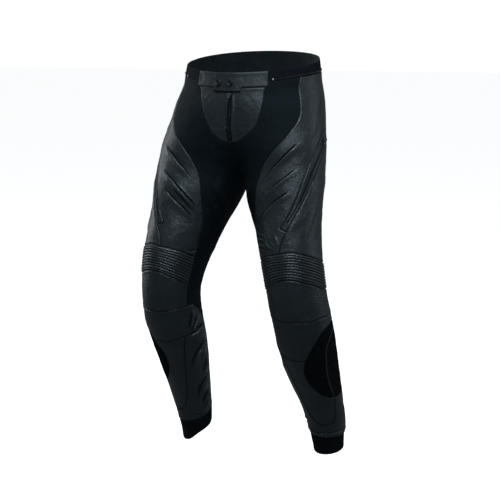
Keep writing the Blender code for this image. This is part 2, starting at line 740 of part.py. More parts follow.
def pocket_line():
    """Line of the pocket zip, midway between the long edges of its strip."""
    front, back = LINES["strip front"], LINES["strip back"]
    share = np.linspace(0, 1, 30)
    sides = []
    for line in (front, back):
        t = np.linspace(0, 1, len(line))
        sides.append(np.stack([np.interp(share, t, line[:, 0]), np.interp(share, t, line[:, 1])], axis=-1))
    path = (sides[0] + sides[1]) / 2
    keep = (path[:, 1] > POCKET_ZIP_TOP) & (path[:, 1] < POCKET_ZIP_FOOT)
    return path[keep]


def frame_at(params, ahead):
    """Origin and axes on the cloth: sideways, along towards the second point, outwards."""
    point = body(*params)
    normal = outward(*params)
    along = body(*ahead) - point
    along -= normal * np.dot(along, normal)
    along /= np.linalg.norm(along)
    return point, np.cross(along, normal), along, normal


def cells(cuts, filled):
    """Closed blocky body from the filled cells of a grid: points and faces in its own axes."""
    spans = [range(len(c) - 1) for c in cuts]
    full = {(i, j, k) for i in spans[0] for j in spans[1] for k in spans[2] if filled(i, j, k)}
    index, points, faces = {}, [], []

    def vertex(key):
        if key not in index:
            index[key] = len(points)
            points.append([cuts[axis][key[axis]] for axis in range(3)])
        return index[key]

    for cell in sorted(full):
        for axis in range(3):
            u, v = (axis + 1) % 3, (axis + 2) % 3
            for step in (0, 1):
                beside = list(cell)
                beside[axis] += 2 * step - 1
                if tuple(beside) in full:
                    continue
                corners = []
                for du, dv in ((0, 0), (1, 0), (1, 1), (0, 1)):
                    key = list(cell)
                    key[axis] += step
                    key[u] += du
                    key[v] += dv
                    corners.append(vertex(tuple(key)))
                faces.append(tuple(corners if step else reversed(corners)))
    return np.array(points, float), faces


def placed(points, frame, shift=(0, 0, 0)):
    """Points in a local frame moved into place."""
    origin, sideways, along, out = frame
    p = points + np.array(shift, float)
    return origin + p[:, :1] * sideways + p[:, 1:2] * along + p[:, 2:] * out


def slider_and_pull(prefix, suffix, frame, surface, side, lift):
    """Zip slider with two ears, and the pull that swings between them."""
    points, faces = cells(SLIDER_CUTS, lambda i, j, k: k == 0 or (j == 0 and i in (1, 3)))
    add(prefix + "_slider" + suffix, placed(points, frame, (0, 0, lift)), faces, surface, side)

    def in_pull(i, j, k):
        if j == 0:
            return i == 1
        if j == 1:
            return i == 1 and k == 1
        return k == 1

    across, along, out = PULL_CUTS
    points, faces = cells([across, (*along, PULL_LENGTH[prefix]), out], in_pull)
    pivot = placed(np.zeros((1, 3)), frame, (0, 0, lift + PIVOT_OUT))[0]
    points = placed(points, frame, (0, 0, lift + PIVOT_OUT))
    add(prefix + "_pull" + suffix, points, faces, surface, side, origin=pivot)


def front_frame(x, drop, lift):
    """Frame on the waistband front, x to the wearer's left of the middle."""
    turn = turn_at(abs(x), drop)
    point, normal = body(turn, drop), outward(turn, drop)
    down = body(turn, drop + 4) - body(turn, drop - 4)
    down /= np.linalg.norm(down)
    mirror = np.array([math.copysign(1, x), 1, 1])
    point, normal, down = point * mirror, normal * mirror, down * mirror
    return point + normal * lift, np.cross(down, normal), down, normal


def disc(name, frame, surface):
    """A snap cap: a turned disc with a raised rim."""
    profile = [(0, 0.0), (1.0, 0.0), (1.0, 0.55), (0.86, 1.0), (0.7, 1.0), (0.6, 0.7), (0, 0.7)]
    count = 16
    points, faces = [], []
    for share, height in profile:
        if share == 0:
            points.append((0, 0, height * SNAP_HEIGHT))
            continue
        for k in range(count):
            angle = 2 * math.pi * k / count
            points.append((
                share * SNAP_RADIUS * math.cos(angle), share * SNAP_RADIUS * math.sin(angle),
                height * SNAP_HEIGHT,
            ))
    rings = [[1 + r * count + k for k in range(count)] for r in range(len(profile) - 2)]
    last = len(points) - 1
    for k in range(count):
        j = (k + 1) % count
        faces.append((0, rings[0][j], rings[0][k]))
        faces.append((last, rings[-1][k], rings[-1][j]))
        for low, high in zip(rings[:-1], rings[1:]):
            faces.append((low[k], low[j], high[j], high[k]))
    points = np.array(points, float)
    origin, sideways, along, out = frame
    if np.dot(np.cross(sideways, along), out) < 0:
        faces = [tuple(reversed(f)) for f in faces]
    add(name, placed(points, frame), faces, surface)


def fly_zip(surface):
    """Zip tape and teeth up the middle of the fly, following its wander."""
    drops = np.arange(FLY_TOP + 2.5, FLY_FOOT - 0.2, 12.0)
    drops = np.append(drops, FLY_FOOT - 0.4)
    points = []
    for drop in drops:
        shift = float(wander(drop))
        for x in (shift - ZIP_HALF + ZIP_CLEAR, shift + ZIP_HALF - ZIP_CLEAR):
            turn = turn_at(max(abs(x), 0.05), drop)
            mirror = np.array([math.copysign(1, x), 1, 1])
            point, normal = body(turn, drop) * mirror, outward(turn, drop) * mirror
            point[0] = x
            points.append(point)
            points.append(point - normal * (LEATHER - 0.4) * (0, 1, 1))
    faces = [(0, 1, 3, 2)]
    for k in range(len(drops) - 1):
        a, b = 4 * k, 4 * k + 4
        faces += [
            (a, a + 2, b + 2, b), (a + 1, b + 1, b + 3, a + 3),
            (a, b, b + 1, a + 1), (a + 2, a + 3, b + 3, b + 2),
        ]
    e = 4 * (len(drops) - 1)
    faces.append((e, e + 2, e + 3, e + 1))
    faces = [tuple(reversed(f)) for f in faces]
    return add("fly_zip", points, faces, surface)


def waist_tab(surface):
    """End of the left waistband, laid over the right one and closed with snaps."""
    corners = []
    for x, drop in TAB_CORNERS:
        turn = turn_at(abs(x), min(drop, 40))
        corners.append((math.copysign(turn, x), drop))
    sides = [curve([corners[i], corners[(i + 1) % 4]]) for i in range(4)]
    panel("waist_tab", loop(*sides), LEATHER, surface, lift=TAB_CLEAR + LEATHER, folded=False)


def build():
    for old in list(bpy.data.objects):
        bpy.data.objects.remove(old, do_unlink=True)
    leather = material("leather", (0.022, 0.026, 0.029), 0.42)
    stretch = material("stretch_cloth", (0.005, 0.007, 0.009), 0.85)
    textile = material("waist_cloth", (0.008, 0.009, 0.013), 0.8)
    pile = material("pile", (0.005, 0.005, 0.006), 0.95)
    pile_back = material("pile_back", (0.014, 0.009, 0.007), 0.95)
    knit = material("cuff_knit", (0.008, 0.008, 0.009), 0.9)
    tape = material("zip_tape", (0.004, 0.005, 0.006), 0.6)
    metal = material("dark_metal", (0.12, 0.12, 0.13), 0.35, 1.0)
    bright = material("bright_metal", (0.55, 0.56, 0.58), 0.25, 1.0)
    for word, side in (("right", -1), ("left", 1)):
        LINES.update(all_seams(word))
        tail = "_" + word
        panel("waistband_front" + tail, loop(
            "waist front", "band end upper", "band end lower", "-band foot end", "-band foot",
            "-band foot inner", "-band middle"), LEATHER, leather, side)
        start = JOIN_START[word]
        turns = np.linspace(start, JOIN_END, 10)
        foot = loop_line("stretch top", "thigh top", "seat top")
        drops = np.interp(turns, foot[:, 0], foot[:, 1]) - JOIN_ABOVE - JOIN_WIDTH / 2
        join = ribbon(np.stack([turns, drops], axis=-1), JOIN_WIDTH / 2)
        panel("waistband_side" + tail, loop(
            "waist side", "band back end", "-seat top", "-thigh top", "-stretch top", "-band end upper"),
            LEATHER, textile, side, inlays=[("connection_zip" + tail, join, JOIN_RISE, tape)])
        stop_turn = start - STOP_BEFORE
        stop_drop = float(np.interp(stop_turn, foot[:, 0], foot[:, 1])) - STOP_ABOVE
        stop = frame_at((stop_turn, stop_drop), (stop_turn + 5, 23))
        points, faces = cells(STOP_CUTS, lambda i, j, k: True)
        add("end_stop" + tail, placed(points, stop), faces, bright, side)
        panel("fly_front" + tail, loop(fly_edge(side), "-fly side", "-band foot"), LEATHER, leather, side)
        panel("stretch_front" + tail, loop(
            "stretch top", "stretch side", "rib inner", "knee inner", "stretch foot", "stretch back low",
            "stretch back", "-crotch", "-zip foot", "-fly side", "band foot end", "-band end lower"),
            STRETCH, stretch, side)
        panel("thigh_front" + tail, loop(
            "thigh top", "side upper", "strip top", "strip front", "strip foot", "short seam",
            "-rib top in", "-stretch side"), LEATHER, leather, side, pleats=PLEATS[word])
        zip_line = steps(pocket_line(), 16)
        panel("pocket_strip" + tail, loop("strip top", "strip front", "strip foot", "-strip back"),
              LEATHER, leather, side,
              inlays=[("pocket_zip" + tail, ribbon(zip_line, POCKET_ZIP_HALF), POCKET_ZIP_RISE, tape)])
        top = zip_line[0] + (zip_line[1] - zip_line[0]) * 0.1
        slider_and_pull("pocket", tail, frame_at(tuple(top), tuple(zip_line[1])), metal, side,
                        CLEAR + POCKET_ZIP_RISE + SLIDER_CLEAR)
        panel("thigh_outer" + tail, loop("side lower", "-rib top out", "-short seam", "-strip back"),
              LEATHER, leather, side)
        panel("seat_back" + tail, loop(
            "seat top", "seat top back", "-seat middle", "-stretch back", "-thigh back foot", "-side lower",
            "-side upper"), LEATHER, leather, side)
        panel("knee_ribs" + tail, loop("rib top in", "rib top out", "rib outer", "-rib foot", "-rib inner"),
              LEATHER, leather, side, ribs=rib_rows())
        panel("knee_upper" + tail, loop("rib foot", "knee outer", "-knee foot", "-knee inner"),
              LEATHER, leather, side)
        panel("knee_lower" + tail, loop(
            "knee foot", "knee tail", "patch top back", "patch top front", "lower knee foot",
            "lower knee inner", "-stretch foot"), LEATHER, leather, side)
        panel("knee_patch_front" + tail, loop("patch top front", "patch front", "-patch divide"),
              LEATHER, pile, side)
        panel("knee_patch_back" + tail, loop("patch top back", "patch divide", "patch foot", "-patch back"),
              LEATHER, pile_back, side)
        panel("shin" + tail, loop("lower knee foot", "shin inner", "shin outer", "-patch front"),
              LEATHER, leather, side)
        panel("calf_inner" + tail, loop(
            "lower knee inner", "calf inner", "-hem inner", "-under shin", "-shin inner"),
            LEATHER, leather, side)
        panel("calf_outer" + tail, loop(
            "patch foot", "calf outer", "-hem outer", "-under shin", "shin outer"), LEATHER, leather, side)
        panel("calf_back" + tail, loop(
            "thigh back foot", "-stretch back low", "calf inner", "-hem back", "-calf outer", "-patch back",
            "-knee tail", "-knee outer", "-rib outer"), STRETCH, stretch, side)
        panel("cuff" + tail, loop(
            "-hem inner", "hem outer", "hem back", "cuff seam", "-cuff foot", "-cuff seam"),
            KNIT, knit, side)

    panel("waistband_back", loop(
        "waist back", "-band back end right", "-seat top right", "-seat top back", "-band back end"),
        LEATHER, leather)
    fly_zip(tape)
    waist_tab(leather)
    for k, (x, drop) in enumerate(SNAPS):
        disc("snap_%d" % (k + 1), front_frame(x, drop, TAB_CLEAR + LEATHER + CLEAR), metal)
    slider_drop = TAB_FOOT + SLIDER_BELOW
    frame = front_frame(1e-3, slider_drop, 0.0)
    shift = float(wander(slider_drop))
    frame = (frame[0] + frame[1] * math.copysign(shift, shift * frame[1][0]), *frame[1:])
    slider_and_pull("fly", "", frame, bright, 1, SLIDER_CLEAR)


build()
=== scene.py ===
# %% [markdown]
# # Black leather motorcycle trousers
# Race-cut trousers for a rider: cowhide over the thighs, knees, shins and seat, stretch cloth round the fly
# and down the inner leg, ribs over the knee so that it can bend, and pile patches that hold the knee pads.
# They are shown filled out as worn, held at the waist. Sizes are in millimetres until a mesh is made.

# %% Start
import math
from functools import lru_cache

import bmesh
import bpy
import numpy as np
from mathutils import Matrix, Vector, noise
from mathutils.geometry import delaunay_2d_cdt
from mathutils.kdtree import KDTree


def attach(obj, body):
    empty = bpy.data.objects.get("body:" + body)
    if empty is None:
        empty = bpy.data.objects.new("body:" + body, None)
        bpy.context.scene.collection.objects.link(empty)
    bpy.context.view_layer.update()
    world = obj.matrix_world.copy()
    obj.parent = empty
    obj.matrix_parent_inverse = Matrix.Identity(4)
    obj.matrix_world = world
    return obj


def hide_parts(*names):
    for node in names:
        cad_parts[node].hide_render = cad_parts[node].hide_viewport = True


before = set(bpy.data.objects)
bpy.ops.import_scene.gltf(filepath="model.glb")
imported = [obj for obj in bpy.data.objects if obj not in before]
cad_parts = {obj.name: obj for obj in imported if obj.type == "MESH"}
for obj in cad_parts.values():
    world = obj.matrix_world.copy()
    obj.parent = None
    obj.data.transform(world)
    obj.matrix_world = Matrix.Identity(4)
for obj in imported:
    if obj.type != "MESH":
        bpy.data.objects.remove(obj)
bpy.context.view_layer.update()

MM = 0.001

# %% [markdown]
# ## The shape the cloth is pulled into
# A tailor's form is measured in girths down the body. The same is done here: a row for each level of the left
# side, from waist to hem, with the middle of the section, its half sizes, and how it tilts.
# The right side is the mirror image.

# %% Sections of the filled-out garment
SECTION_COLUMNS = (
    "drop", "x", "y", "z", "inner", "outer", "front", "back", "square", "diagonal", "pitch", "roll",
)
SECTIONS = [
    (0, 0, 0, 0, 167, 167, 118, 118, 2.10, 0.00, 11.5, 0),
    (40, 0, -3, -38, 172, 172, 122, 121, 2.10, 0.00, 11.5, 0),
    (100, 15, -15, -92, 172, 171, 113, 128, 2.20, 0.02, 8, 0),
    (160, 44, -28, -148, 140, 152, 99, 138, 2.25, 0.05, 3, 2),
    (215, 78, -43, -204, 116, 129, 86, 132, 2.25, 0.08, -3, 5),
    (265, 102, -53, -256, 101, 110, 80, 118, 2.20, 0.09, -8, 8),
    (320, 116, -66, -310, 92, 100, 82, 102, 2.15, 0.09, -12, 10),
    (380, 131, -80, -368, 83, 87, 80, 88, 2.10, 0.07, -13, 11),
    (440, 146, -95, -426, 78, 78, 80, 80, 2.05, 0.05, -13, 11),
    (500, 160, -105, -486, 73, 73, 75, 74, 2.05, 0.04, -8, 10),
    (560, 170, -102, -546, 70, 69, 73, 68, 2.10, 0.02, 4, 7),
    (620, 175, -85, -604, 70, 69, 73, 64, 2.10, 0.02, 16, 3),
    (680, 176, -64, -658, 70, 68, 66, 66, 2.05, 0.00, 22, 2),
    (740, 177, -39, -712, 65, 63, 60, 66, 2.00, 0.00, 24, 2),
    (800, 180, -13, -766, 58, 56, 54, 60, 2.00, 0.00, 24, 2),
    (860, 182, 13, -820, 50, 50, 49, 53, 2.00, 0.00, 24, 2),
    (920, 184, 35, -876, 44, 43, 44, 46, 2.00, 0.00, 20, 2),
    (985, 184, 48, -935, 37, 36, 39, 39, 2.00, 0.00, 14, 0),
    (1000, 184, 50, -950, 36, 35, 38, 38, 2.00, 0.00, 12, 0),
]

# %% [markdown]
# ## Seams and surface
# Seams are drawn on the form as a tailor chalks them: each runs from one meeting point to the next, given as
# the turn round the section and the drop down the garment.

# %% Tables of the form and its seams
TABLE = {name: np.array([row[i] for row in SECTIONS], float) for i, name in enumerate(SECTION_COLUMNS)}

# How widely the two legs blend into each other at the middle, by drop
BLEND = np.array([
    (0, 0), (40, 0), (100, 14), (160, 24), (205, 22), (232, 14), (247, 8), (258, 1.5), (266, 0), (1000, 0),
], float)

# Meeting points of the seams on the left side: (turn, drop). The turn is in degrees round the section, with 0
# in front, 90 at the outer side, 180 behind and -90 at the inseam. The drop is in mm below the waist's top.
POINTS = {
    "band corner": (42, 0),
    "band step": (42, 26),
    "band foot": (42, 38),
    "fly corner": (39, 38),
    "back band top": (140, 0),
    "back band foot": (140, 35),
    "hip front": (70, 23),
    "hip side": (105, 32),
    "strip top back": (112, 184),
    "strip top front": (91, 177),
    "strip foot front": (10, 414),
    "strip foot back": (21, 423),
    "rib top inner": (-66, 471),
    "rib top middle": (3, 468),
    "rib top outer": (130, 486),
    "rib foot inner": (-64, 537),
    "rib foot outer": (130, 549),
    "knee inner": (-61, 587),
    "knee outer": (130, 604),
    "stretch tip": (-115, 660),
    "back knee": (-132, 480),
    "patch back": (132, 640),
    "patch top": (112, 627),
    "patch side": (25, 684),
    "patch foot": (66, 824),
    "patch heel": (131, 812),
    "shin inner": (-44, 673),
    "shin tip": (20, 897),
    "hem front": (20, 934),
    "hem inner": (-120, 912),
    "hem outer": (128, 944),
    "cuff foot": (-120, 985),
}

# Meeting points below the knee that lie elsewhere on each leg as worn
WORN = {
    "left": {"patch side": (19, 694), "shin inner": (-42, 683), "cuff foot": (-120, 986)},
    "right": {"patch side": (31, 674), "shin inner": (-46, 662), "cuff foot": (-120, 958)},
}

# Lower edge of each cuff as worn, (turn, drop) points between its two ends at the inner back
CUFF_EDGE = {
    "left": [(-60, 987), (0, 988), (120, 987), (180, 986)],
    "right": [(-45, 971), (5, 993), (60, 995), (120, 985), (185, 968)],
}

# How far the front of the seam below the knee has settled down each leg, in mm
SETTLED = {"left": 10, "right": -11}

# Seams of the left side: from one meeting point to another, with the (turn, drop) points passed on the way.
SEAMS = {
    "band end upper": ("band corner", [], "band step"),
    "band end lower": ("band step", [], "band foot"),
    "band foot end": ("fly corner", [], "band foot"),
    "waist side": ("band corner", [(90, 0)], "back band top"),
    "band back end": ("back band top", [], "back band foot"),
    "stretch top": ("band step", [(56, 24)], "hip front"),
    "thigh top": ("hip front", [(88, 27)], "hip side"),
    "seat top": ("hip side", [(122, 34)], "back band foot"),
    "stretch side": (
        "hip front",
        [(68, 44), (67, 88), (64, 130), (55, 165), (40, 198), (19, 228), (-4, 256), (-23, 283),
         (-35, 317), (-46, 351), (-55, 386), (-61, 430)],
        "rib top inner",
    ),
    "rib inner": ("rib top inner", [(-67, 500)], "rib foot inner"),
    "knee inner": ("rib foot inner", [(-62, 560)], "knee inner"),
    "stretch foot": ("knee inner", [(-80, 590), (-98, 618)], "stretch tip"),
    "stretch back low": ("stretch tip", [(-122, 620), (-128, 570), (-131, 520)], "back knee"),
    "side upper": ("hip side", [(106, 80), (108, 130)], "strip top back"),
    "side lower": ("strip top back", [(118, 240), (124, 300), (128, 380)], "rib top outer"),
    "strip top": ("strip top back", [], "strip top front"),
    "strip front": (
        "strip top front", [(75, 222), (61, 268), (53, 302), (42, 346), (28, 382)], "strip foot front",
    ),
    "strip foot": ("strip foot front", [], "strip foot back"),
    "strip back": (
        "strip top back", [(105, 204), (89, 235), (73, 280), (60, 328), (47, 366), (33, 396)],
        "strip foot back",
    ),
    "short seam": ("strip foot back", [(11, 441)], "rib top middle"),
    "rib top in": ("rib top inner", [(-33, 467)], "rib top middle"),
    "rib top out": ("rib top middle", [(25, 468), (47, 474), (90, 484)], "rib top outer"),
    "thigh back foot": ("rib top outer", [(180, 484)], "back knee"),
    "rib outer": ("rib top outer", [], "rib foot outer"),
    "rib foot": (
        "rib foot inner", [(-49, 530), (-25, 523), (4, 518), (28, 522), (55, 532), (90, 545)],
        "rib foot outer",
    ),
    "knee outer": ("rib foot outer", [], "knee outer"),
    "knee foot": (
        "knee inner", [(-36, 591), (-10, 596), (15, 598), (40, 601), (60, 601), (92, 604)], "knee outer",
    ),
    "knee tail": ("knee outer", [], "patch back"),
    "patch top back": ("patch back", [], "patch top"),
    "patch top front": ("patch top", [(100, 625), (78, 627), (60, 634), (40, 658)], "patch side"),
    "patch divide": ("patch top", [(96, 644), (69, 672), (61, 714), (59, 776)], "patch foot"),
    "patch front": (
        "patch side", [(13, 710), (9, 733), (12, 759), (26, 790), (45, 812)], "patch foot",
    ),
    "patch foot": ("patch foot", [(84, 828), (108, 827)], "patch heel"),
    "patch back": ("patch back", [(137, 690), (138, 730), (136, 780)], "patch heel"),
    "lower knee foot": ("patch side", [(0, 684), (-20, 682)], "shin inner"),
    "lower knee inner": ("shin inner", [(-68, 663), (-90, 659)], "stretch tip"),
    "shin inner": ("shin inner", [(-36, 724), (-28, 790), (-20, 840), (-6, 878)], "shin tip"),
    "shin outer": ("shin tip", [(42, 898), (57, 882), (61, 858)], "patch foot"),
    "under shin": ("shin tip", [], "hem front"),
    "calf inner": ("stretch tip", [(-118, 720), (-120, 800), (-120, 860)], "hem inner"),
    "calf outer": ("patch heel", [(129, 870)], "hem outer"),
    "hem inner": ("hem front", [(-20, 931), (-70, 922)], "hem inner"),
    "hem outer": ("hem front", [(45, 937), (95, 946)], "hem outer"),
    "hem back": ("hem outer", [(180, 932)], "hem inner"),
    "cuff seam": ("hem inner", [], "cuff foot"),
}

# Where named lines meet the middle of the garment, by drop
FLY_TOP = 38
FLY_FOOT = 200
SEAT_FOOT = 235
SEAT_TOP = 36

# Fly zip: half width of the tape, and how far the zip wanders sideways, (drop, shift), in mm
ZIP_HALF = 4.3
ZIP_WANDER = np.array([(38, 0), (60, 3.2), (82, 4.4), (106, 3.2), (136, 0), (165, -1.4), (200, 0)], float)

# Sides of the fly as worn, drawn towards the wearer's left: (turn, drop) points from its corner to its foot
FLY_SIDE = {
    "left": [(36, 80), (28, 124), (17, 157), (1, 178), (-15, 191)],
    "right": [(31, 84), (21, 125), (9, 157), (-3, 177), (-16, 190)],
}

# Thigh pleats of each leg: the (turn, drop) points of the stitched line, and the height of the ridge below it
PLEATS = {
    "left": [
        ([(60, 197), (44, 224), (24, 252), (5, 274), (-10, 298)], 4.2),
        ([(50, 266), (38, 281), (17, 305), (-8, 327), (-38, 356)], 4.2),
        ([(36, 325), (22, 338), (2, 353), (-18, 369), (-38, 385)], 3.8),
    ],
    "right": [
        ([(54, 218), (38, 242), (20, 262), (3, 278), (-12, 298)], 4.2),
        ([(42, 286), (23, 306), (0, 328), (-26, 350), (-42, 366)], 4.4),
        ([(26, 337), (6, 354), (-18, 371), (-38, 386)], 3.8),
    ],
}

# Soft folds of the whole wall: (turn, drop) points, height and reach in mm
FOLDS = [
    ([(8, 322), (-14, 340), (-42, 366)], 1.0, 11),
    ([(-20, 400), (-2, 430), (4, 455)], 0.6, 12),
    ([(-40, 405), (-22, 430), (-12, 452)], 0.5, 10),
    ([(66, 330), (50, 372), (26, 412)], 1.6, 13),
    ([(44, 392), (22, 430)], 1.4, 11),
    ([(-60, 300), (-88, 350), (-104, 400)], 3.0, 15),
    ([(-72, 350), (-96, 400), (-110, 440)], 2.5, 14),
    ([(-92, 690), (-84, 740), (-82, 800)], 3.5, 12),
    ([(-62, 730), (-68, 790), (-78, 850)], 3.0, 11),
    ([(128, 300), (160, 380), (205, 440)], 3.0, 22),
    ([(145, 205), (170, 245), (205, 300)], 3.0, 24),
    ([(135, 560), (180, 556), (222, 562)], -3.5, 13),
    ([(140, 592), (180, 586), (220, 594)], -3.5, 13),
    ([(150, 700), (178, 740), (205, 790)], 3.0, 16),
    ([(92, 860), (110, 890), (120, 925)], 2.5, 12),
]

# Pocket zips, connection zips and the tab over the closure, in mm and degrees
POCKET_ZIP_TOP = 196
POCKET_ZIP_FOOT = 408
POCKET_ZIP_SHOWN = 1.5
JOIN_START = {"left": 48, "right": 61}
JOIN_END = 137
JOIN_ABOVE = 3.0
JOIN_HALF = 1.6
TAB_RIGHT = -42
TAB_LEFT = 52
TAB_FOOT = 50
TAB_CLEAR = 0.8
SNAPS = [(-29, 27), (3, 26)]

# Length of the equal steps that a seam is cut into, and the sign of x for each leg
SEAM_STEP = 3.5
SIDES = {"right": -1, "left": 1}

# %% [markdown]
# ## Creases
# Leather that has been worn keeps its creases. Each row is one crease: the (turn, drop) points
# it passes, how far it stands out or sinks in, and how wide its soft flank is.
# The big thigh pleats are stitched ridges, so they get a sharp upper flank with a groove above it.

# %% Creases
PLEAT_RIDGE = 3.0
PLEAT_STEEP = 1.5
PLEAT_SOFT = 8.5
GROOVE_DEPTH = 1.7
GROOVE_REACH = 1.15
HOLLOW_DEPTH = 0.7
HOLLOW_SHIFT = 5.0
HOLLOW_REACH = 4.0

CREASES = {
    "both": [
        ([(58, 366), (48, 392), (36, 416)], 1.0, 5.0),
        ([(74, 340), (66, 384), (52, 420), (44, 456)], 1.0, 7.0),
        ([(92, 402), (80, 432), (64, 460)], -1.0, 7.0),
        # under the fly, towards the crotch
        ([(-30, 206), (-40, 226), (-58, 244)], 0.7, 5.0),
        ([(-12, 206), (-26, 228), (-44, 250)], 0.6, 6.0),
        # hip, from the waist zip into the thigh
        ([(92, 66), (84, 110), (78, 150)], 0.8, 10.0),
        ([(80, 140), (74, 172), (62, 196)], 0.9, 7.0),
        # shin and outer calf above the hem
        ([(-20, 894), (-46, 908), (-80, 912)], 1.3, 3.6),
        ([(34, 908), (62, 914), (96, 918)], 1.1, 3.6),
        ([(80, 846), (96, 868), (106, 900)], 1.1, 7.0),
        # back of the knee, folds across the stretch cloth
        ([(134, 536), (176, 530), (224, 540)], 2.2, 6.0),
        ([(138, 572), (180, 566), (222, 574)], 2.6, 6.0),
        ([(134, 608), (176, 600), (216, 604)], 2.2, 6.0),
        ([(146, 512), (182, 508), (214, 516)], 1.4, 6.0),
        ([(148, 640), (180, 634), (220, 648)], 1.4, 7.0),
        # seat, folds running from the seat seam down to the outer thigh
        ([(196, 236), (176, 262), (146, 276)], 1.8, 8.0),
        ([(200, 266), (180, 290), (150, 306)], 2.0, 9.0),
        ([(206, 300), (184, 322), (152, 338)], 1.4, 9.0),
        ([(136, 392), (166, 414), (200, 420)], 1.4, 8.0),
        ([(140, 430), (172, 446), (208, 448)], 1.8, 7.0),
        ([(150, 462), (180, 468), (210, 462)], 1.4, 6.0),
        # calf back
        ([(140, 720), (170, 744), (206, 752)], 1.2, 9.0),
        ([(150, 812), (180, 830), (212, 832)], 1.2, 8.0),
        ([(140, 880), (180, 890), (222, 884)], 1.2, 6.0),
    ],
    "left": [
        # above the inner knee, where the thigh leather bunches over the ribs
        ([(-60, 392), (-42, 412), (-22, 424)], 1.7, 2.8),
        ([(-62, 406), (-44, 422), (-24, 436)], 1.9, 2.8),
        ([(-62, 420), (-44, 436), (-22, 448)], 1.9, 2.8),
        ([(-60, 434), (-44, 448), (-26, 458)], 1.6, 2.6),
        ([(-58, 446), (-44, 458), (-32, 464)], 1.4, 2.4),
        # fanning out from the foot of the short seam
        ([(2, 458), (-8, 444), (-14, 424), (-12, 404)], 1.6, 2.6),
        ([(-2, 460), (-18, 448), (-28, 430)], 1.7, 2.6),
        ([(4, 456), (2, 440), (-1, 420)], 1.5, 2.6),
        ([(6, 458), (16, 446), (24, 430)], 1.4, 3.0),
        # inner thigh and calf
        ([(-56, 300), (-76, 336), (-92, 376)], 1.3, 5.0),
        ([(-58, 336), (-78, 372), (-96, 414)], 1.2, 5.0),
        ([(-92, 606), (-84, 630), (-72, 652)], 2.0, 4.5),
        ([(-60, 700), (-76, 742), (-84, 800), (-84, 850)], 2.4, 5.0),
        ([(-74, 812), (-84, 850), (-86, 890)], 2.2, 4.6),
        ([(-44, 872), (-62, 890), (-86, 904)], 1.8, 4.0),
        ([(-36, 890), (-58, 902), (-90, 908)], 1.6, 3.4),
    ],
    "right": [
        # the folded edge of the thigh leather at the inner knee
        ([(-66, 452), (-58, 462), (-44, 465)], 2.0, 3.0),
        # between the second and the third pleat
        ([(21, 322), (0, 336), (-22, 356), (-42, 372)], 2.0, 3.4),
        ([(14, 312), (-8, 332), (-34, 356)], 1.6, 3.0),
        # stretch cloth of the inner thigh, drawn in slanting lines
        ([(-46, 296), (-64, 324), (-83, 356)], 2.8, 3.8),
        ([(-44, 318), (-63, 350), (-88, 386)], 3.0, 3.8),
        ([(-62, 302), (-78, 332), (-92, 352)], 2.4, 3.6),
        ([(-54, 350), (-72, 380), (-94, 412)], 2.2, 4.0),
        # inner knee and calf, long folds from the back towards the shin
        ([(-74, 598), (-71, 626), (-59, 654)], 4.6, 4.2),
        ([(-92, 622), (-80, 640), (-62, 662)], 4.8, 4.2),
        ([(-116, 664), (-80, 664), (-52, 674)], 5.2, 4.6),
        ([(-114, 706), (-86, 712), (-62, 736), (-54, 770)], 5.6, 5.2),
        ([(-112, 748), (-92, 760), (-76, 796)], 4.6, 4.8),
        ([(-112, 800), (-78, 818), (-62, 846), (-58, 872)], 5.6, 5.2),
        ([(-104, 852), (-82, 866), (-66, 894)], 5.0, 4.6),
        ([(-96, 886), (-78, 896), (-60, 908)], 2.0, 3.6),
        # outer thigh, above the ribs
        ([(70, 396), (62, 424), (64, 452)], 2.8, 4.6),
        ([(84, 410), (76, 436), (78, 462)], 2.6, 4.6),
    ],
}
LEG = {"word": "left"}


def creases():
    """The creases of the leg being made."""
    return CREASES["both"] + CREASES[LEG["word"]]


# %% [markdown]
# ## The form as a function
# A point on the garment is named by turn and drop, and these functions turn it into a place in space. Seams
# are smooth lines through the points of the tables.

# %% Form and seam functions
def knot_slopes(knots, values):
    """Slopes of the curve at its knots, level where two knots are level."""
    slopes = np.gradient(values, knots)
    level = np.diff(values) == 0
    slopes[:-1][level] = 0
    slopes[1:][level] = 0
    return slopes


def smooth(x, knots, values, slopes=None):
    """Values at x on a cubic curve through the knots."""
    if slopes is None:
        slopes = knot_slopes(knots, values)
    k = np.clip(np.searchsorted(knots, x, side="right") - 1, 0, len(knots) - 2)
    span = knots[k + 1] - knots[k]
    t = (x - knots[k]) / span
    return (
        values[k] * (1 + 2 * t) * (1 - t) ** 2
        + slopes[k] * span * t * (1 - t) ** 2
        + values[k + 1] * t * t * (3 - 2 * t)
        + slopes[k + 1] * span * t * t * (t - 1)
    )


SLOPES = {name: knot_slopes(TABLE["drop"], TABLE[name]) for name in SECTION_COLUMNS[1:]}


def column(name, drop):
    """One column of the section table at a drop."""
    return smooth(drop, TABLE["drop"], TABLE[name], SLOPES[name])


def plain(turn, drop):
    """Points of one leg's outside before the two legs are blended at the middle."""
    turn, drop = np.broadcast_arrays(np.asarray(turn, float), np.asarray(drop, float))
    at = {name: column(name, drop) for name in SECTION_COLUMNS[1:]}
    angle = np.radians(turn)
    side, ahead = np.sin(angle), np.cos(angle)
    half_x = np.where(side > 0, at["outer"], at["inner"])
    half_y = np.where(ahead > 0, at["front"], at["back"])
    power = at["square"]
    reach = (np.abs(side / half_x) ** power + np.abs(ahead / half_y) ** power) ** (-1 / power)
    reach = reach * (1 + at["diagonal"] * np.sin(2 * angle))
    out, back = reach * side, -reach * ahead
    pitch, roll = np.radians(at["pitch"]), np.radians(at["roll"])
    x = at["x"] + out * np.cos(roll)
    y = at["y"] + back * np.cos(pitch)
    z = at["z"] + out * np.sin(roll) + back * np.sin(pitch)
    return np.stack([x, y, z], axis=-1)


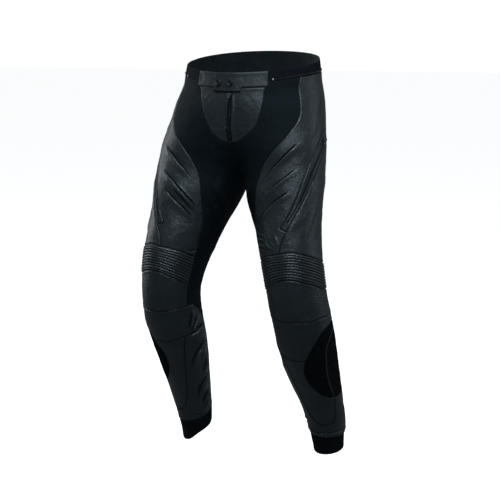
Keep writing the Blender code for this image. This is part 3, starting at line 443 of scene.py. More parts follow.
def body(turn, drop):
    """Points of the garment's left outside, in mm."""
    points = plain(turn, drop)
    blend = np.interp(drop, BLEND[:, 0], BLEND[:, 1])
    x = points[..., 0]
    points[..., 0] = np.sign(x) * np.sqrt(np.maximum(x * x - blend * blend, 0))
    return points


def outward(turn, drop):
    """Unit normals of the garment's left outside."""
    turn, drop = np.asarray(turn, float), np.asarray(drop, float)
    low, high = TABLE["drop"][0], TABLE["drop"][-1]
    round_it = body(turn + 1.5, drop) - body(turn - 1.5, drop)
    down = body(turn, np.clip(drop + 2, low, high)) - body(turn, np.clip(drop - 2, low, high))
    normal = np.cross(down, round_it)
    return normal / np.linalg.norm(normal, axis=-1, keepdims=True)


def girth(drop):
    """Mean half size of the section at a drop, in mm."""
    sizes = [column(name, np.asarray(drop, float)) for name in ("inner", "outer", "front", "back")]
    return np.mean(sizes, axis=0)


@lru_cache(maxsize=None)
def turn_at(x, drop, back=False):
    """Turn of the point that lies x from the middle plane, on the front or the back."""
    low, high = (-179.9, -100.0) if back else (-85.0, 45.0)
    if back and drop < 120:
        low = -184.0
    for _ in range(26):
        middle = (low + high) / 2
        blend = np.interp(drop, BLEND[:, 0], BLEND[:, 1])
        across = float(plain(middle, drop)[0])
        found = math.copysign(math.sqrt(max(across * across - blend * blend, 0)), across)
        beyond = found > x if across > blend or across < 0 else False
        if beyond == back:
            low = middle
        else:
            high = middle
    return (low + high) / 2


@lru_cache(maxsize=None)
def crotch_drop(turn):
    """Drop at which a line of constant turn crosses the middle plane."""
    low, high = 40.0, 320.0
    for _ in range(26):
        middle = (low + high) / 2
        if float(plain(turn, middle)[0]) > np.interp(middle, BLEND[:, 0], BLEND[:, 1]):
            high = middle
        else:
            low = middle
    return (low + high) / 2


def curve(controls):
    """Smooth curve through (turn, drop) points, cut into equal steps on the cloth."""
    p = np.array(controls, float)
    p[:, 0] = np.degrees(np.unwrap(np.radians(p[:, 0])))
    if len(p) > 2:
        ends = np.vstack([2 * p[0] - p[1], p, 2 * p[-1] - p[-2]])
        t = np.linspace(0, 1, 12, endpoint=False)[:, None]
        spans = []
        for a, b, c, d in zip(ends[:-3], ends[1:-2], ends[2:-1], ends[3:]):
            spans.append(0.5 * (2 * b + (c - a) * t + (2 * a - 5 * b + 4 * c - d) * t**2
                                + (3 * b - a - 3 * c + d) * t**3))
        p = np.vstack(spans + [p[-1:]])
    else:
        p = p[0] + (p[1] - p[0]) * np.linspace(0, 1, 24)[:, None]
    return steps(p, SEAM_STEP)


def steps(p, size):
    """A fine (turn, drop) line cut again into equal steps of about the given size."""
    where = body(p[:, 0], p[:, 1])
    run = np.concatenate([[0], np.cumsum(np.linalg.norm(np.diff(where, axis=0), axis=1))])
    count = max(1, round(run[-1] / size))
    at = np.linspace(0, run[-1], count + 1)
    return np.stack([np.interp(at, run, p[:, 0]), np.interp(at, run, p[:, 1])], axis=-1)


def wander(drop):
    """Sideways shift of the fly zip at a drop."""
    return smooth(np.asarray(drop, float), ZIP_WANDER[:, 0], ZIP_WANDER[:, 1])


def fly_edge(side):
    """Edge of a fly half beside the zip, for the left (1) or right (-1) half."""
    drops = np.linspace(FLY_TOP, FLY_FOOT, 25)
    return steps(np.array([(turn_at(ZIP_HALF + side * float(wander(d)), d), d) for d in drops]), SEAM_STEP)


def all_seams(word):
    """Every seam of one side, as a (turn, drop) line of the left side."""
    points = {**POINTS, **WORN[word]}
    lines = {}
    for name, (start, passed, end) in SEAMS.items():
        if name == "lower knee foot":
            passed = [(turn, drop + SETTLED[word]) for turn, drop in passed]
        lines[name] = curve([points[start], *passed, points[end]])
    front, back = turn_at(0, FLY_FOOT), turn_at(0, SEAT_FOOT, back=True)
    zip_foot = turn_at(ZIP_HALF, FLY_FOOT)
    zip_top = turn_at(ZIP_HALF, FLY_TOP)
    lines["waist front"] = curve([(0, 0), (21, 0), points["band corner"]])
    lines["band middle"] = curve([(0, 0), (0, FLY_TOP)])
    lines["band foot inner"] = np.array([(0, FLY_TOP), (zip_top, FLY_TOP)])
    lines["band foot"] = curve([(zip_top, FLY_TOP), (24, FLY_TOP), points["fly corner"]])
    lines["fly side"] = curve([points["fly corner"], *FLY_SIDE[word], (zip_foot, FLY_FOOT)])
    lines["zip foot"] = np.array([(zip_foot, FLY_FOOT), (front, FLY_FOOT)])
    turns = np.linspace(front, back, 60)
    path = np.array([(t, crotch_drop(t)) for t in turns])
    path[0], path[-1] = (front, FLY_FOOT), (back, SEAT_FOOT)
    lines["crotch"] = steps(path, SEAM_STEP)
    lines["stretch back"] = curve(
        [points["back knee"], (-133, 420), (-134, 360), (-138, 300), (-144, 262), (back, SEAT_FOOT)]
    )
    drops = np.linspace(SEAT_FOOT, SEAT_TOP, 40)
    path = np.array([(turn_at(0, d, back=True), d) for d in drops])
    path[-1] = (-180, SEAT_TOP)
    lines["seat middle"] = steps(path, SEAM_STEP)
    lines["seat top back"] = curve([points["back band foot"], (160, 35.8), (180, SEAT_TOP)])
    lines["waist back"] = curve([points["back band top"], (180, 0), (220, 0)])
    other = lines["seat top back"][::-1].copy()
    other[:, 0] = 360 - other[:, 0]
    lines["seat top right"] = other
    end = lines["band back end"][::-1].copy()
    end[:, 0] = 360 - end[:, 0]
    lines["band back end right"] = end
    foot = points["cuff foot"][1]
    lines["cuff foot"] = curve([(-120, foot), *CUFF_EDGE[word], (240, foot)])
    return lines


LINES = {}


def loop(*names):
    """Seams joined end to end into one closed outline. A minus sign runs a seam backwards."""
    outline = []
    for name in names:
        line = name if isinstance(name, np.ndarray) else LINES[name.lstrip("-")]
        line = line.copy()
        if isinstance(name, str) and name.startswith("-"):
            line = line[::-1].copy()
        if outline:
            line[:, 0] += 360 * round((outline[-1][0] - line[0, 0]) / 360)
            assert abs(outline[-1] - line[0]).max() < 0.5, name
            line = line[1:]
        outline.extend(line)
    assert abs(outline[0] - outline[-1]).max() < 0.5, names
    return np.array(outline[:-1])


def flat(points, middle):
    """(turn, drop) points laid out in mm for meshing."""
    points = np.asarray(points, float)
    return np.stack([np.radians(points[..., 0] - middle) * girth(points[..., 1]), points[..., 1]], axis=-1)


def unflat(laid, middle):
    """Flat points in mm as (turn, drop) points again."""
    return np.stack([np.degrees(laid[:, 0] / girth(laid[:, 1])) + middle, laid[:, 1]], axis=-1)


def turned_near(turns, middle):
    """Turns moved by whole circles to within half a circle of the middle."""
    return (turns - middle + 180) % 360 - 180 + middle


def on_form(params):
    """Places and normals of the form at (turn, drop) points."""
    return body(params[:, 0], params[:, 1]), outward(params[:, 0], params[:, 1])


def eased(share):
    """A share from 0 to 1, made soft at both ends."""
    return share * share * (3 - 2 * share)


def round_pairs(count):
    """Each index with the one after it, round a closed outline."""
    return [(k, (k + 1) % count) for k in range(count)]


def inside(points, outline):
    """Which of the flat points lie inside a flat outline."""
    x, y = points[:, 0][:, None], points[:, 1][:, None]
    x1, y1 = outline[:, 0], outline[:, 1]
    x2, y2 = np.roll(x1, -1), np.roll(y1, -1)
    crosses = (y1 > y) != (y2 > y)
    with np.errstate(divide="ignore", invalid="ignore"):
        hit = x < (x2 - x1) * (y - y1) / (y2 - y1) + x1
    return (np.sum(crosses & hit, axis=1) % 2) == 1


def away(points, line):
    """Distance of flat points from a flat line."""
    a = line[:-1]
    along = line[1:] - a
    t = np.sum((points[:, None] - a) * along, axis=2) / np.maximum(np.sum(along * along, axis=1), 1e-9)
    nearest = a + np.clip(t, 0, 1)[..., None] * along
    return np.linalg.norm(points[:, None] - nearest, axis=2).min(axis=1)


def soft_folds(points):
    """Height of the soft folds at (turn, drop) points."""
    points = np.atleast_2d(points)
    total = np.zeros(len(points))
    for path, height, reach in FOLDS:
        path = np.array(path, float)
        middle = path[:, 0].mean()
        turned = points.copy()
        turned[:, 0] = turned_near(points[:, 0], middle)
        gap = away(flat(turned, middle), flat(path, middle))
        total += height * np.exp(-((gap / reach) ** 2))
    return total


# Height of a row of points as a share of their distance along it, so that the triangles are nearly even
ROW_SHARE = 0.87


def lattice(outline, column_step):
    """Points in offset rows over the box round a (turn, drop) outline."""
    rows, row_step = [], column_step * ROW_SHARE
    low, high = outline[:, 1].min(), outline[:, 1].max()
    left, right = outline[:, 0].min(), outline[:, 0].max()
    for k, drop in enumerate(np.arange(math.ceil(low / row_step), high / row_step) * row_step):
        turn_step = math.degrees(column_step / float(girth(drop)))
        turns = np.arange(math.floor(left / turn_step), right / turn_step + 1) * turn_step
        rows.append(np.stack([turns + turn_step / 2 * (k % 2), np.full(len(turns), drop)], axis=-1))
    return np.vstack(rows) if rows else np.zeros((0, 2))


def curve_fine(path):
    """A few (turn, drop) points joined by a fine smooth line."""
    p = np.array(path, float)
    t = np.linspace(0, len(p) - 1, 20 * (len(p) - 1) + 1)
    knots = np.arange(len(p), dtype=float)
    return np.stack([smooth(t, knots, p[:, 0]), smooth(t, knots, p[:, 1])], axis=-1)


def triangulate(points, middle, count, chains):
    """Triangles inside the first count points taken as a closed outline, keeping the chains as edges."""
    laid = [Vector(p) for p in flat(points[:, :2], middle)]
    edges = round_pairs(count)
    for chain in chains:
        edges.extend(zip(chain[:-1], chain[1:]))
    result = delaunay_2d_cdt(laid, edges, [], 1, 1e-5)
    first = [sources[0] for sources in result[3]]
    triangles = []
    for face in result[2]:
        a, b, c = (first[i] for i in face)
        pa, pb, pc = laid[a], laid[b], laid[c]
        area = (pb.x - pa.x) * (pc.y - pa.y) - (pb.y - pa.y) * (pc.x - pa.x)
        triangles.append((a, c, b) if area > 0 else (a, b, c))
    return triangles


# %% [markdown]
# ## Height of the cloth over its form
# Every point of a piece is lifted or sunk by pleats, folds and creases, and by the roll of the leather where
# its edge is turned into a seam. Working it out as one function keeps the stitches and the zip on the cloth.

# %% Height function
ROLL_DEPTH = 1.25
ROLL_REACH = 1.35
SOFT_ROLL = 0.3
# width in mm of the darkening beside each seam, partly a dark joint and partly painted shade
SEAM_SHADE = 0.75
QUIET_REACH = 5.0
VALLEY = 0.35
VALLEY_SHIFT = 1.5
LOWER_FLANK = 0.7
CREASE_ENDS = 0.35
PLEAT_REACH = 30
PLEAT_ENDS = 0.3
PUFF_HEIGHT = 0.45
PUFF_SHIFT = 4.2
PUFF_REACH = 2.6
RIB_COUNT = 10
RIB_RISE = 2.1
HEM_FOLD = 12.5
# hem rise and groove of each leg; the groove also sets the painted shade along the hem line
HEMS = {"left": (1.7, 0.9), "right": (0.5, 0.25)}
# strength of the painted shade between the ribs
RIB_SHADE = 0.9
# shift and reach in mm of the painted shade along the pleat grooves
GROOVE_SHADE = 0.3
GROOVE_SHADE_REACH = 2.1
RUMPLE, RUMPLE_SIZE = 0.55, 26.0
FINE_RUMPLE, FINE_RUMPLE_SIZE = 0.22, 8.0
WELT_RISE = 2.0
WELT_SHIFT = 2.8
WELT_REACH = 2.0


def signed_gap(points, line):
    """Distance of flat points from a flat line, the sign of their side, and their place along it, 0 to 1."""
    best = np.full(len(points), 1e9)
    sign, place = np.ones(len(points)), np.zeros(len(points))
    run = np.concatenate([[0], np.cumsum(np.linalg.norm(np.diff(line, axis=0), axis=1))])
    for k, (a, b) in enumerate(zip(line[:-1], line[1:])):
        along = b - a
        size = float(np.dot(along, along))
        if size < 1e-9:
            continue
        t = np.clip((points - a) @ along / size, 0, 1)
        gap = np.linalg.norm(points - (a + t[:, None] * along), axis=1)
        nearer = gap < best
        best = np.where(nearer, gap, best)
        cross = along[0] * (points[:, 1] - a[1]) - along[1] * (points[:, 0] - a[0])
        sign = np.where(nearer, np.sign(cross), sign)
        place = np.where(nearer, (run[k] + t * math.sqrt(size)) / run[-1], place)
    return best, sign, place


def near(params, path, reach):
    """The (turn, drop) points close enough to a path to be worth working out, and both laid flat."""
    line = np.array(path, float)
    middle = line[:, 0].mean()
    turned = turned_near(params[:, 0], middle)
    fine = curve_fine(line)
    low, high = fine[:, 1].min() - reach, fine[:, 1].max() + reach
    half = np.abs(fine[:, 0] - middle).max() + np.degrees(reach / girth(fine[:, 1].mean())) + 8
    chosen = np.where((params[:, 1] > low) & (params[:, 1] < high) & (np.abs(turned - middle) < half))[0]
    here = flat(np.column_stack([turned[chosen], params[chosen, 1]]), middle)
    return chosen, here, flat(fine, middle)


def swell(place, ends):
    """1 along the middle of a crease, soft to 0 at its two ends."""
    return eased(np.clip(np.minimum(place, 1 - place) / ends, 0, 1))


def crease_relief(params):
    """Soft folds and creases. The higher creases have a valley on their lower side, darkened there by painted
    shade.
    """
    total, painted_shade = np.zeros(len(params)), np.zeros(len(params))
    for rows in (FOLDS, creases()):
        for path, height, reach in rows:
            chosen, here, line = near(params, path, 3 * reach)
            if not len(chosen):
                continue
            gap, sign, place = signed_gap(here, line)
            flank = np.where(sign > 0, reach, LOWER_FLANK * reach)
            if rows is FOLDS:
                total[chosen] += height * np.exp(-((gap / flank) ** 2))
                continue
            whole = swell(place, CREASE_ENDS)
            valley = np.exp(-(((gap * sign + VALLEY_SHIFT * reach) / (LOWER_FLANK * reach)) ** 2))
            total[chosen] += height * (np.exp(-((gap / flank) ** 2)) - VALLEY * valley) * whole
            # painted shade: the colour in the valley below each raised crease is darkened, more for the
            # higher creases
            painted_shade[chosen] = np.maximum(painted_shade[chosen], min(max(height / 3.0, 0), 0.8) * valley * whole)
    return total, painted_shade


def pleat_relief(params):
    """The three stitched pleats of the thigh: a narrow groove, then a ridge steep above and soft below, with
    painted shade along the groove.
    """
    total, painted_shade = np.zeros(len(params)), np.zeros(len(params))
    for path, height in PLEATS[LEG["word"]]:
        chosen, here, line = near(params, path, PLEAT_REACH)
        if not len(chosen):
            continue
        gap, sign, place = signed_gap(here, line)
        below = -sign * gap
        flank = np.where(below < PLEAT_RIDGE, PLEAT_STEEP, PLEAT_SOFT)
        rise = height * np.exp(-(((below - PLEAT_RIDGE) / flank) ** 2))
        groove = np.exp(-((gap / GROOVE_REACH) ** 2))
        hollow = HOLLOW_DEPTH * np.exp(-(((below + HOLLOW_SHIFT) / HOLLOW_REACH) ** 2))
        total[chosen] += (rise - GROOVE_DEPTH * groove - hollow) * swell(place, PLEAT_ENDS)
        # painted shade along the groove, darkening the colour just above the ridge
        dark = np.exp(-(((below + GROOVE_SHADE) / GROOVE_SHADE_REACH) ** 2))
        painted_shade[chosen] = np.maximum(painted_shade[chosen], dark * swell(place, 0.2))
    return total, painted_shade


def rumple(points, size, seed):
    """Low uneven swelling of the cloth at points in mm, so that no broad face is perfectly smooth."""
    shift = Vector((seed * 7.1, seed * 3.7, 0.0))
    return np.array([noise.fractal(Vector(p) / size + shift, 0.8, 2.1, 3) for p in points])


def broad_rumple(points):
    return RUMPLE * rumple(points, RUMPLE_SIZE, 1)


def share_between(params, upper, lower):
    """How far down from one seam to another each point lies, from 0 to 1."""
    top = np.interp(params[:, 0], upper[:, 0], upper[:, 1])
    foot = np.interp(params[:, 0], lower[:, 0], lower[:, 1])
    return (params[:, 1] - top) / (foot - top)


def rib_relief(params, edge):
    """Padded ribs over the knee, dying out just before the side seams, with painted shade in the troughs
    between them.
    """
    share = share_between(params, loop_line("rib top in", "rib top out"), LINES["rib foot"])
    wave = np.abs(np.sin(np.pi * RIB_COUNT * np.clip(share, 0, 1))) ** 0.7
    uneven = 1 + 0.18 * np.sin(params[:, 0] * 0.13 + share * 9) * np.cos(share * 23)
    fade = np.clip((edge - 1.0) / 5.0, 0, 1)
    # the second value is painted shade in the troughs between the ribs
    return RIB_RISE * wave * fade * uneven, RIB_SHADE * fade * (1 - wave) ** 1.3


def hem_line():
    """The lower edge of the leather all round the leg, as (turn, drop) points from the inner back."""
    return np.vstack([LINES["hem inner"][::-1], LINES["hem outer"][1:], LINES["hem back"][1:]])


def hem_relief(params):
    """The turned-up hem of the leather above the cuff, with the stitched line along its top, darkened there
    by painted shade.
    """
    rise, groove = HEMS[LEG["word"]]
    hem = hem_line()
    turn = (params[:, 0] + 120) % 360 - 120
    above = np.interp(turn, hem[:, 0], hem[:, 1]) - params[:, 1]
    step = 1 / (1 + np.exp(np.clip((above - HEM_FOLD) / 0.6, -40, 40)))
    line = np.exp(-(((above - HEM_FOLD - 1.4) / 1.1) ** 2))
    bunched = 0.5 * np.sin(turn * 0.21) * np.sin(turn * 0.083 + 1.0) * np.exp(-((above - 7) / 5) ** 2)
    here = above > -1
    # the second value is painted shade along the stitched line
    return np.where(here, rise * step + rise * bunched - groove * line, 0), np.where(here, line * groove, 0)


def welt_height(params):
    """The rolled welt along the left edge of the fly zip."""
    chosen, here, line = near(params, fly_edge(1), 14)
    total = np.zeros(len(params))
    gap = signed_gap(here, line)[0]
    total[chosen] = WELT_RISE * np.exp(-(((gap - WELT_SHIFT) / WELT_REACH) ** 2))
    return total


def away_from(params, line, reach):
    """0 on a line, soft to 1 at a distance of reach mm and more."""
    chosen, here, laid = near(params, line, reach)
    total = np.ones(len(params))
    if len(chosen):
        total[chosen] = 1 - np.exp(-((signed_gap(here, laid)[0] / (0.5 * reach)) ** 2))
    return total


def cloth_relief(params, edge, kind):
    """How far the outside of a piece is lifted or lowered, and how much painted shade each point gets in its
    grooves, creases and seams, 0 to 1.

    edge is the distance to the seams of the piece in mm.
    """
    total, painted_shade = np.zeros(len(params)), np.zeros(len(params))
    if "flat" not in kind:
        total, painted_shade = crease_relief(params)
    parts = []
    if "pleated" in kind:
        parts.append(pleat_relief(params))
    if "ribbed" in kind:
        parts.append(rib_relief(params, edge))
    if "hemmed" in kind:
        parts.append(hem_relief(params))
    # each part gives a height and the painted shade of its grooves
    for height, dark in parts:
        total += height
        painted_shade = np.maximum(painted_shade, dark)
    if "welted" in kind:
        total += welt_height(params)
    share = SOFT_ROLL if "soft" in kind else 1.0
    if "hemmed" in kind:
        share = share * away_from(params, LINES["under shin"], QUIET_REACH)
    total -= share * ROLL_DEPTH * np.exp(-((edge / ROLL_REACH) ** 2))
    total += share * PUFF_HEIGHT * np.exp(-(((edge - PUFF_SHIFT) / PUFF_REACH) ** 2))
    # beside each seam the colour darkens: partly the seam's own dark joint, partly painted shade
    return total, np.maximum(painted_shade, share * np.exp(-((edge / SEAM_SHADE) ** 2)))


def side_rows(path, offsets, size):
    """Points beside a path, at set distances above (positive) and below it, as (turn, drop)."""
    fine = steps(curve_fine(np.array(path, float)), size)
    middle = fine[:, 0].mean()
    laid = flat(fine, middle)
    along = np.gradient(laid, axis=0)
    along /= np.maximum(np.linalg.norm(along, axis=1, keepdims=True), 1e-9)
    across = np.stack([-along[:, 1], along[:, 0]], axis=-1)
    rows = []
    for offset in offsets:
        rows.append(unflat(laid + across * offset, middle))
    return np.vstack(rows)


def dense_points(kind):
    """Extra points where the relief is fine: along the pleats, the narrow creases and the hem."""
    rows = []
    if "pleated" in kind:
        for path, _ in PLEATS[LEG["word"]]:
            rows.append(side_rows(path, (6.0, 3.4, 1.8, 0.8, 0.0, -0.9, -1.8, -2.8, -4.2, -6.5, -9.5), 3.0))
    for path, _, reach in creases():
        if reach < 5.5:
            rows.append(side_rows(path, tuple(reach * k for k in (1.6, 0.9, 0.4, 0, -0.3, -0.7, -1.2)), 3.6))
    if "hemmed" in kind:
        hem = hem_line()
        turns = np.arange(-120, 240, 4.0)
        for above in (9.0, 11.4, 12.2, 13.0, 13.9, 14.9, 16.2, 18.5):
            rows.append(np.stack([turns, np.interp(turns, hem[:, 0], hem[:, 1]) - above], axis=-1))
    return np.vstack(rows)


# %% [markdown]
# ## Surfaces
# Cowhide is a fine pebbled grain with a soft coat of finish, worn a little smoother on the raised parts. The
# stretch cloth is a matte knit, the waistband a plain weave, the patches a dense looped pile.
# Each surface is built from noise and cell patterns at the true size of the grain.

# %% Surface helpers
COLD = (0.70, 0.87, 1.0, 1)
COLD_CLOTH = (0.58, 0.82, 1.0, 1)


def add_node(tree, kind, inputs=None, **settings):
    """A node with its settings and inputs: an output of another node is linked, anything else is a value."""
    made = tree.nodes.new(kind)
    for name, value in settings.items():
        setattr(made, name, value)
    for name, value in (inputs or {}).items():
        if isinstance(value, bpy.types.NodeSocket):
            tree.links.new(value, made.inputs[name])
        else:
            made.inputs[name].default_value = value
    return made


def set_inputs(node, values):
    for name, value in values.items():
        node.inputs[name].default_value = value


def new_surface(name, colour, roughness, metallic=0.0, sheen=0.0):
    """A named surface with its even values on the shader itself."""
    made = bpy.data.materials.new(name)
    made.use_nodes = True
    shader = made.node_tree.nodes["Principled BSDF"]
    set_inputs(shader, {"Base Color": (*colour, 1), "Roughness": roughness, "Metallic": metallic,
                        "Sheen Weight": sheen})
    if not metallic:
        set_inputs(shader, {"Specular Tint": COLD})
    made.diffuse_color = (*colour, 1)
    return made, made.node_tree, shader


def math_node(tree, operation, a, b=0.0):
    return add_node(tree, "ShaderNodeMath", {0: a, 1: b}, operation=operation).outputs[0]


def weighted(tree, first, share, second, other):
    """The sum of two values, each times its share."""
    parts = [math_node(tree, "MULTIPLY", value, part) for value, part in ((first, share), (second, other))]
    return math_node(tree, "ADD", *parts)


def ramp(tree, value, stops):
    """Colour along a value: stops are (position, colour)."""
    node = add_node(tree, "ShaderNodeValToRGB", {0: value})
    for element, (position, colour) in zip(node.color_ramp.elements, stops):
        element.position = position
        element.color = (*colour, 1)
    return node.outputs["Color"]


def spread(tree, value, low, high, to_low, to_high):
    ends = {"From Min": low, "From Max": high, "To Min": to_low, "To Max": to_high}
    return add_node(tree, "ShaderNodeMapRange", {"Value": value, **ends}).outputs[0]


def object_place(tree):
    return add_node(tree, "ShaderNodeTexCoord").outputs["Object"]


def noise_value(tree, place, scale, detail=4.0, rough=0.55):
    grain = {"Vector": place, "Scale": scale, "Detail": detail, "Roughness": rough}
    return add_node(tree, "ShaderNodeTexNoise", grain).outputs["Fac"]


def cells_value(tree, place, scale):
    return add_node(tree, "ShaderNodeTexVoronoi", {"Vector": place, "Scale": scale}).outputs["Distance"]


def bump(tree, height, strength, distance, under=None):
    relief = {"Height": height, "Strength": strength, "Distance": distance}
    if under is not None:
        relief["Normal"] = under
    return add_node(tree, "ShaderNodeBump", relief).outputs["Normal"]


def stored(tree, name):
    return add_node(tree, "ShaderNodeAttribute", attribute_name=name).outputs["Fac"]


def feed(tree, shader, **sources):
    """Link outputs to the sockets of a shader, named with _ for a space."""
    for title, source in sources.items():
        tree.links.new(source, shader.inputs[title.replace("_", " ")])


# %% Leather
CLOUD_SCALE = 24.0
WIDE_SCALE = 60.0
RUB_SCALE = 75.0
PEBBLE_SCALE = 400.0
GRAIN_SCALE = 900.0
FINE_GRAIN_SCALE = 2600.0
LEATHER_SPECULAR = 0.42
DARKEST_PAINTED_SHADE = 0.06


def leather_surface(name, dark, light, shine):
    """Pebbled hide, lighter (partly wear, partly painted highlight) and smoother where it is raised, with
    painted shade that darkens it and dulls its reflection in its grooves and seams.
    """
    made, tree, shader = new_surface(name, dark, shine)
    place = object_place(tree)
    cloudy = noise_value(tree, place, CLOUD_SCALE, 6.0, 0.6)
    pebbles = cells_value(tree, place, PEBBLE_SCALE)
    grain = cells_value(tree, place, GRAIN_SCALE)
    fine = noise_value(tree, place, FINE_GRAIN_SCALE, 2.0)
    rub = noise_value(tree, place, RUB_SCALE, 6.0, 0.7)
    # the raised parts get a lighter colour, partly wear and partly painted highlight, and a smoother finish
    wear_and_highlight = stored(tree, "raised")
    tone = weighted(tree, cloudy, 0.55, wear_and_highlight, 0.50)
    tone = math_node(tree, "ADD", tone, math_node(tree, "MULTIPLY", pebbles, 0.30))
    colour = ramp(tree, tone, [(0.25, dark), (0.95, light)])
    # painted shade: colour and reflection are darkened in grooves, creases and seams
    painted_shade_factor = spread(tree, stored(tree, "painted_shade"), 0.05, 0.95, 1.0, DARKEST_PAINTED_SHADE)
    shade = add_node(tree, "ShaderNodeMix", {0: 1.0, 6: colour, 7: painted_shade_factor}, data_type="RGBA",
                     blend_type="MULTIPLY")
    gloss = weighted(tree, rub, 0.15, wear_and_highlight, -0.13)
    wide = bump(tree, noise_value(tree, place, WIDE_SCALE, 5.0, 0.6), 0.35, 0.0012)
    middling = bump(tree, pebbles, 0.60, 0.0009, wide)
    close = weighted(tree, grain, 0.7, fine, 0.3)
    feed(tree, shader, Base_Color=shade.outputs[2],
         Specular_IOR_Level=math_node(tree, "MULTIPLY", painted_shade_factor, LEATHER_SPECULAR),
         Roughness=math_node(tree, "ADD", gloss, shine - 0.085),
         Normal=bump(tree, close, 0.40, 0.00035, middling))
    return made


# %% Stretch cloth, woven waistband, pile, cuff knit and zip tape
FUZZ_SCALE = 1800.0
LOOP_SCALE = 900.0
TUFT_SCALE = 380.0
SCRATCH_SCALE = 900.0


def woven_surface(name, dark, light, rough, threads, height, sheen, slant=0.0):
    """Cloth whose threads follow the piece: threads per metre across and down."""
    made, tree, shader = new_surface(name, dark, rough, sheen=sheen)
    set_inputs(shader, {"Sheen Roughness": 0.45, "Specular IOR Level": 0.14, "Specular Tint": COLD_CLOTH})
    laid = add_node(tree, "ShaderNodeUVMap", uv_map="cloth").outputs[0]
    turned = add_node(tree, "ShaderNodeMapping", {"Rotation": (0, 0, slant), "Vector": laid})
    parts = add_node(tree, "ShaderNodeSeparateXYZ", {0: turned.outputs[0]}).outputs
    waves = []
    for along, count in zip(parts[:2], threads):
        waves.append(math_node(tree, "SINE", math_node(tree, "MULTIPLY", along, count * math.tau)))
    weave = math_node(tree, "MULTIPLY", *waves)
    place = object_place(tree)
    cloudy = noise_value(tree, place, 35.0, 5.0)
    fuzz = noise_value(tree, place, FUZZ_SCALE, 3.0, 0.7)
    colour = ramp(tree, weighted(tree, cloudy, 0.6, fuzz, 0.4), [(0.3, dark), (0.75, light)])
    relief = bump(tree, weighted(tree, weave, 0.5, fuzz, 0.6), 0.5, height)
    feed(tree, shader, Base_Color=colour, Normal=relief)
    return made


def pile_surface(name, dark, light):
    """Dense loops: small cells standing proud; the colour is darker in the low gaps and lighter on the tufts,
    painted shade and painted sparkle over the pile's own uneven tone.
    """
    made, tree, shader = new_surface(name, dark, 1.0)
    set_inputs(shader, {"Specular IOR Level": 0.02})
    place = object_place(tree)
    loops = cells_value(tree, place, LOOP_SCALE)
    tufts = cells_value(tree, place, TUFT_SCALE)
    cloudy = noise_value(tree, place, 60.0, 6.0, 0.7)
    # the colour follows the cells of the relief: painted shade in the gaps, painted sparkle on the tufts,
    # with cloud noise for the pile's own uneven tone
    colour = ramp(tree, weighted(tree, tufts, 0.7, cloudy, 0.5), [(0.35, dark), (0.85, light)])
    relief = bump(tree, weighted(tree, loops, 0.8, tufts, 0.5), 1.0, 0.0018)
    feed(tree, shader, Base_Color=colour, Normal=relief)
    return made


def metal_surface(name, colour, rough):
    made, tree, shader = new_surface(name, colour, rough, metallic=1.0)
    scratch = noise_value(tree, object_place(tree), SCRATCH_SCALE, 5.0, 0.7)
    feed(tree, shader, Roughness=spread(tree, scratch, 0.3, 0.7, rough - 0.06, rough + 0.14),
         Normal=bump(tree, scratch, 0.15, 0.0001))
    return made


LEATHER_DARK, LEATHER_LIGHT = (0.0046, 0.0068, 0.0084), (0.0172, 0.0226, 0.0262)
SURFACES = {
    "leather": leather_surface("leather", LEATHER_DARK, LEATHER_LIGHT, 0.42),
    "strip leather": leather_surface("strip_leather", (0.0045, 0.0070, 0.0095), (0.0100, 0.0145, 0.0185),
                                     0.48),
    # a darker copy of the leather: painted shade on the waist tab and the back band
    "tab leather": leather_surface("tab_leather_painted_shade", (0.0026, 0.0040, 0.0050), (0.0105, 0.0140, 0.0165), 0.50),
    "stretch": woven_surface("stretch_cloth", (0.0012, 0.0028, 0.0042), (0.0032, 0.0060, 0.0084), 0.72,
                             (900, 900), 0.0003, 0.0, 0.7),
    "waist cloth": woven_surface("waist_cloth", (0.0020, 0.0024, 0.0044), (0.0052, 0.0060, 0.0096), 0.88,
                                 (700, 700), 0.0004, 0.0),
    "lining": woven_surface("inside_cloth", (0.0016, 0.0030, 0.0042), (0.0085, 0.0125, 0.0160), 0.85,
                            (500, 500), 0.0005, 0.08, 0.4),
    "pile": pile_surface("pile", (0.0005, 0.0010, 0.0015), (0.0100, 0.0140, 0.0175)),
    "brown pile": pile_surface("brown_pile", (0.0034, 0.0030, 0.0032), (0.0210, 0.0175, 0.0175)),
    "knit": woven_surface("cuff_knit", (0.0010, 0.0018, 0.0026), (0.0050, 0.0066, 0.0080), 0.95,
                          (420, 60), 0.0012, 0.0),
    "tape": woven_surface("zip_tape", (0.0018, 0.0021, 0.0025), (0.0050, 0.0055, 0.0062), 0.75,
                          (1200, 1200), 0.0002, 0.02),
    "thread": new_surface("black_thread", (0.0045, 0.0060, 0.0072), 0.75)[0],
    "teeth": metal_surface("black_teeth", (0.030, 0.032, 0.035), 0.38),
    "worn teeth": metal_surface("worn_teeth", (0.055, 0.062, 0.068), 0.4),
    "snap metal": metal_surface("snap_metal", (0.035, 0.036, 0.040), 0.3),
    "binding": new_surface("binding", (0.009, 0.0125, 0.016), 0.8)[0],
    "dark metal": metal_surface("dark_metal", (0.11, 0.115, 0.12), 0.34),
}
print("surfaces:", ", ".join(SURFACES))

# %% [markdown]
# ## Cut pieces
# A pattern cutter draws each piece flat, and the sewn edges pull it to shape. Here a piece is an outline of
# seams on the form. Points are spread over it, closer together near the seams where the cloth rolls, and the
# sheet gets its real thickness behind. Stitches follow the edge of each leather piece a few mm in.

# %% Piece builder
LEATHER = 1.8
STRETCH = 1.4
KNIT = 1.6
EDGE_INSET = -0.15
RING_STEPS = (0.7, 1.7, 3.0)
DEEPEST = 1.3
INNER_STEP = 9.0
STITCH_INSET = 3.4

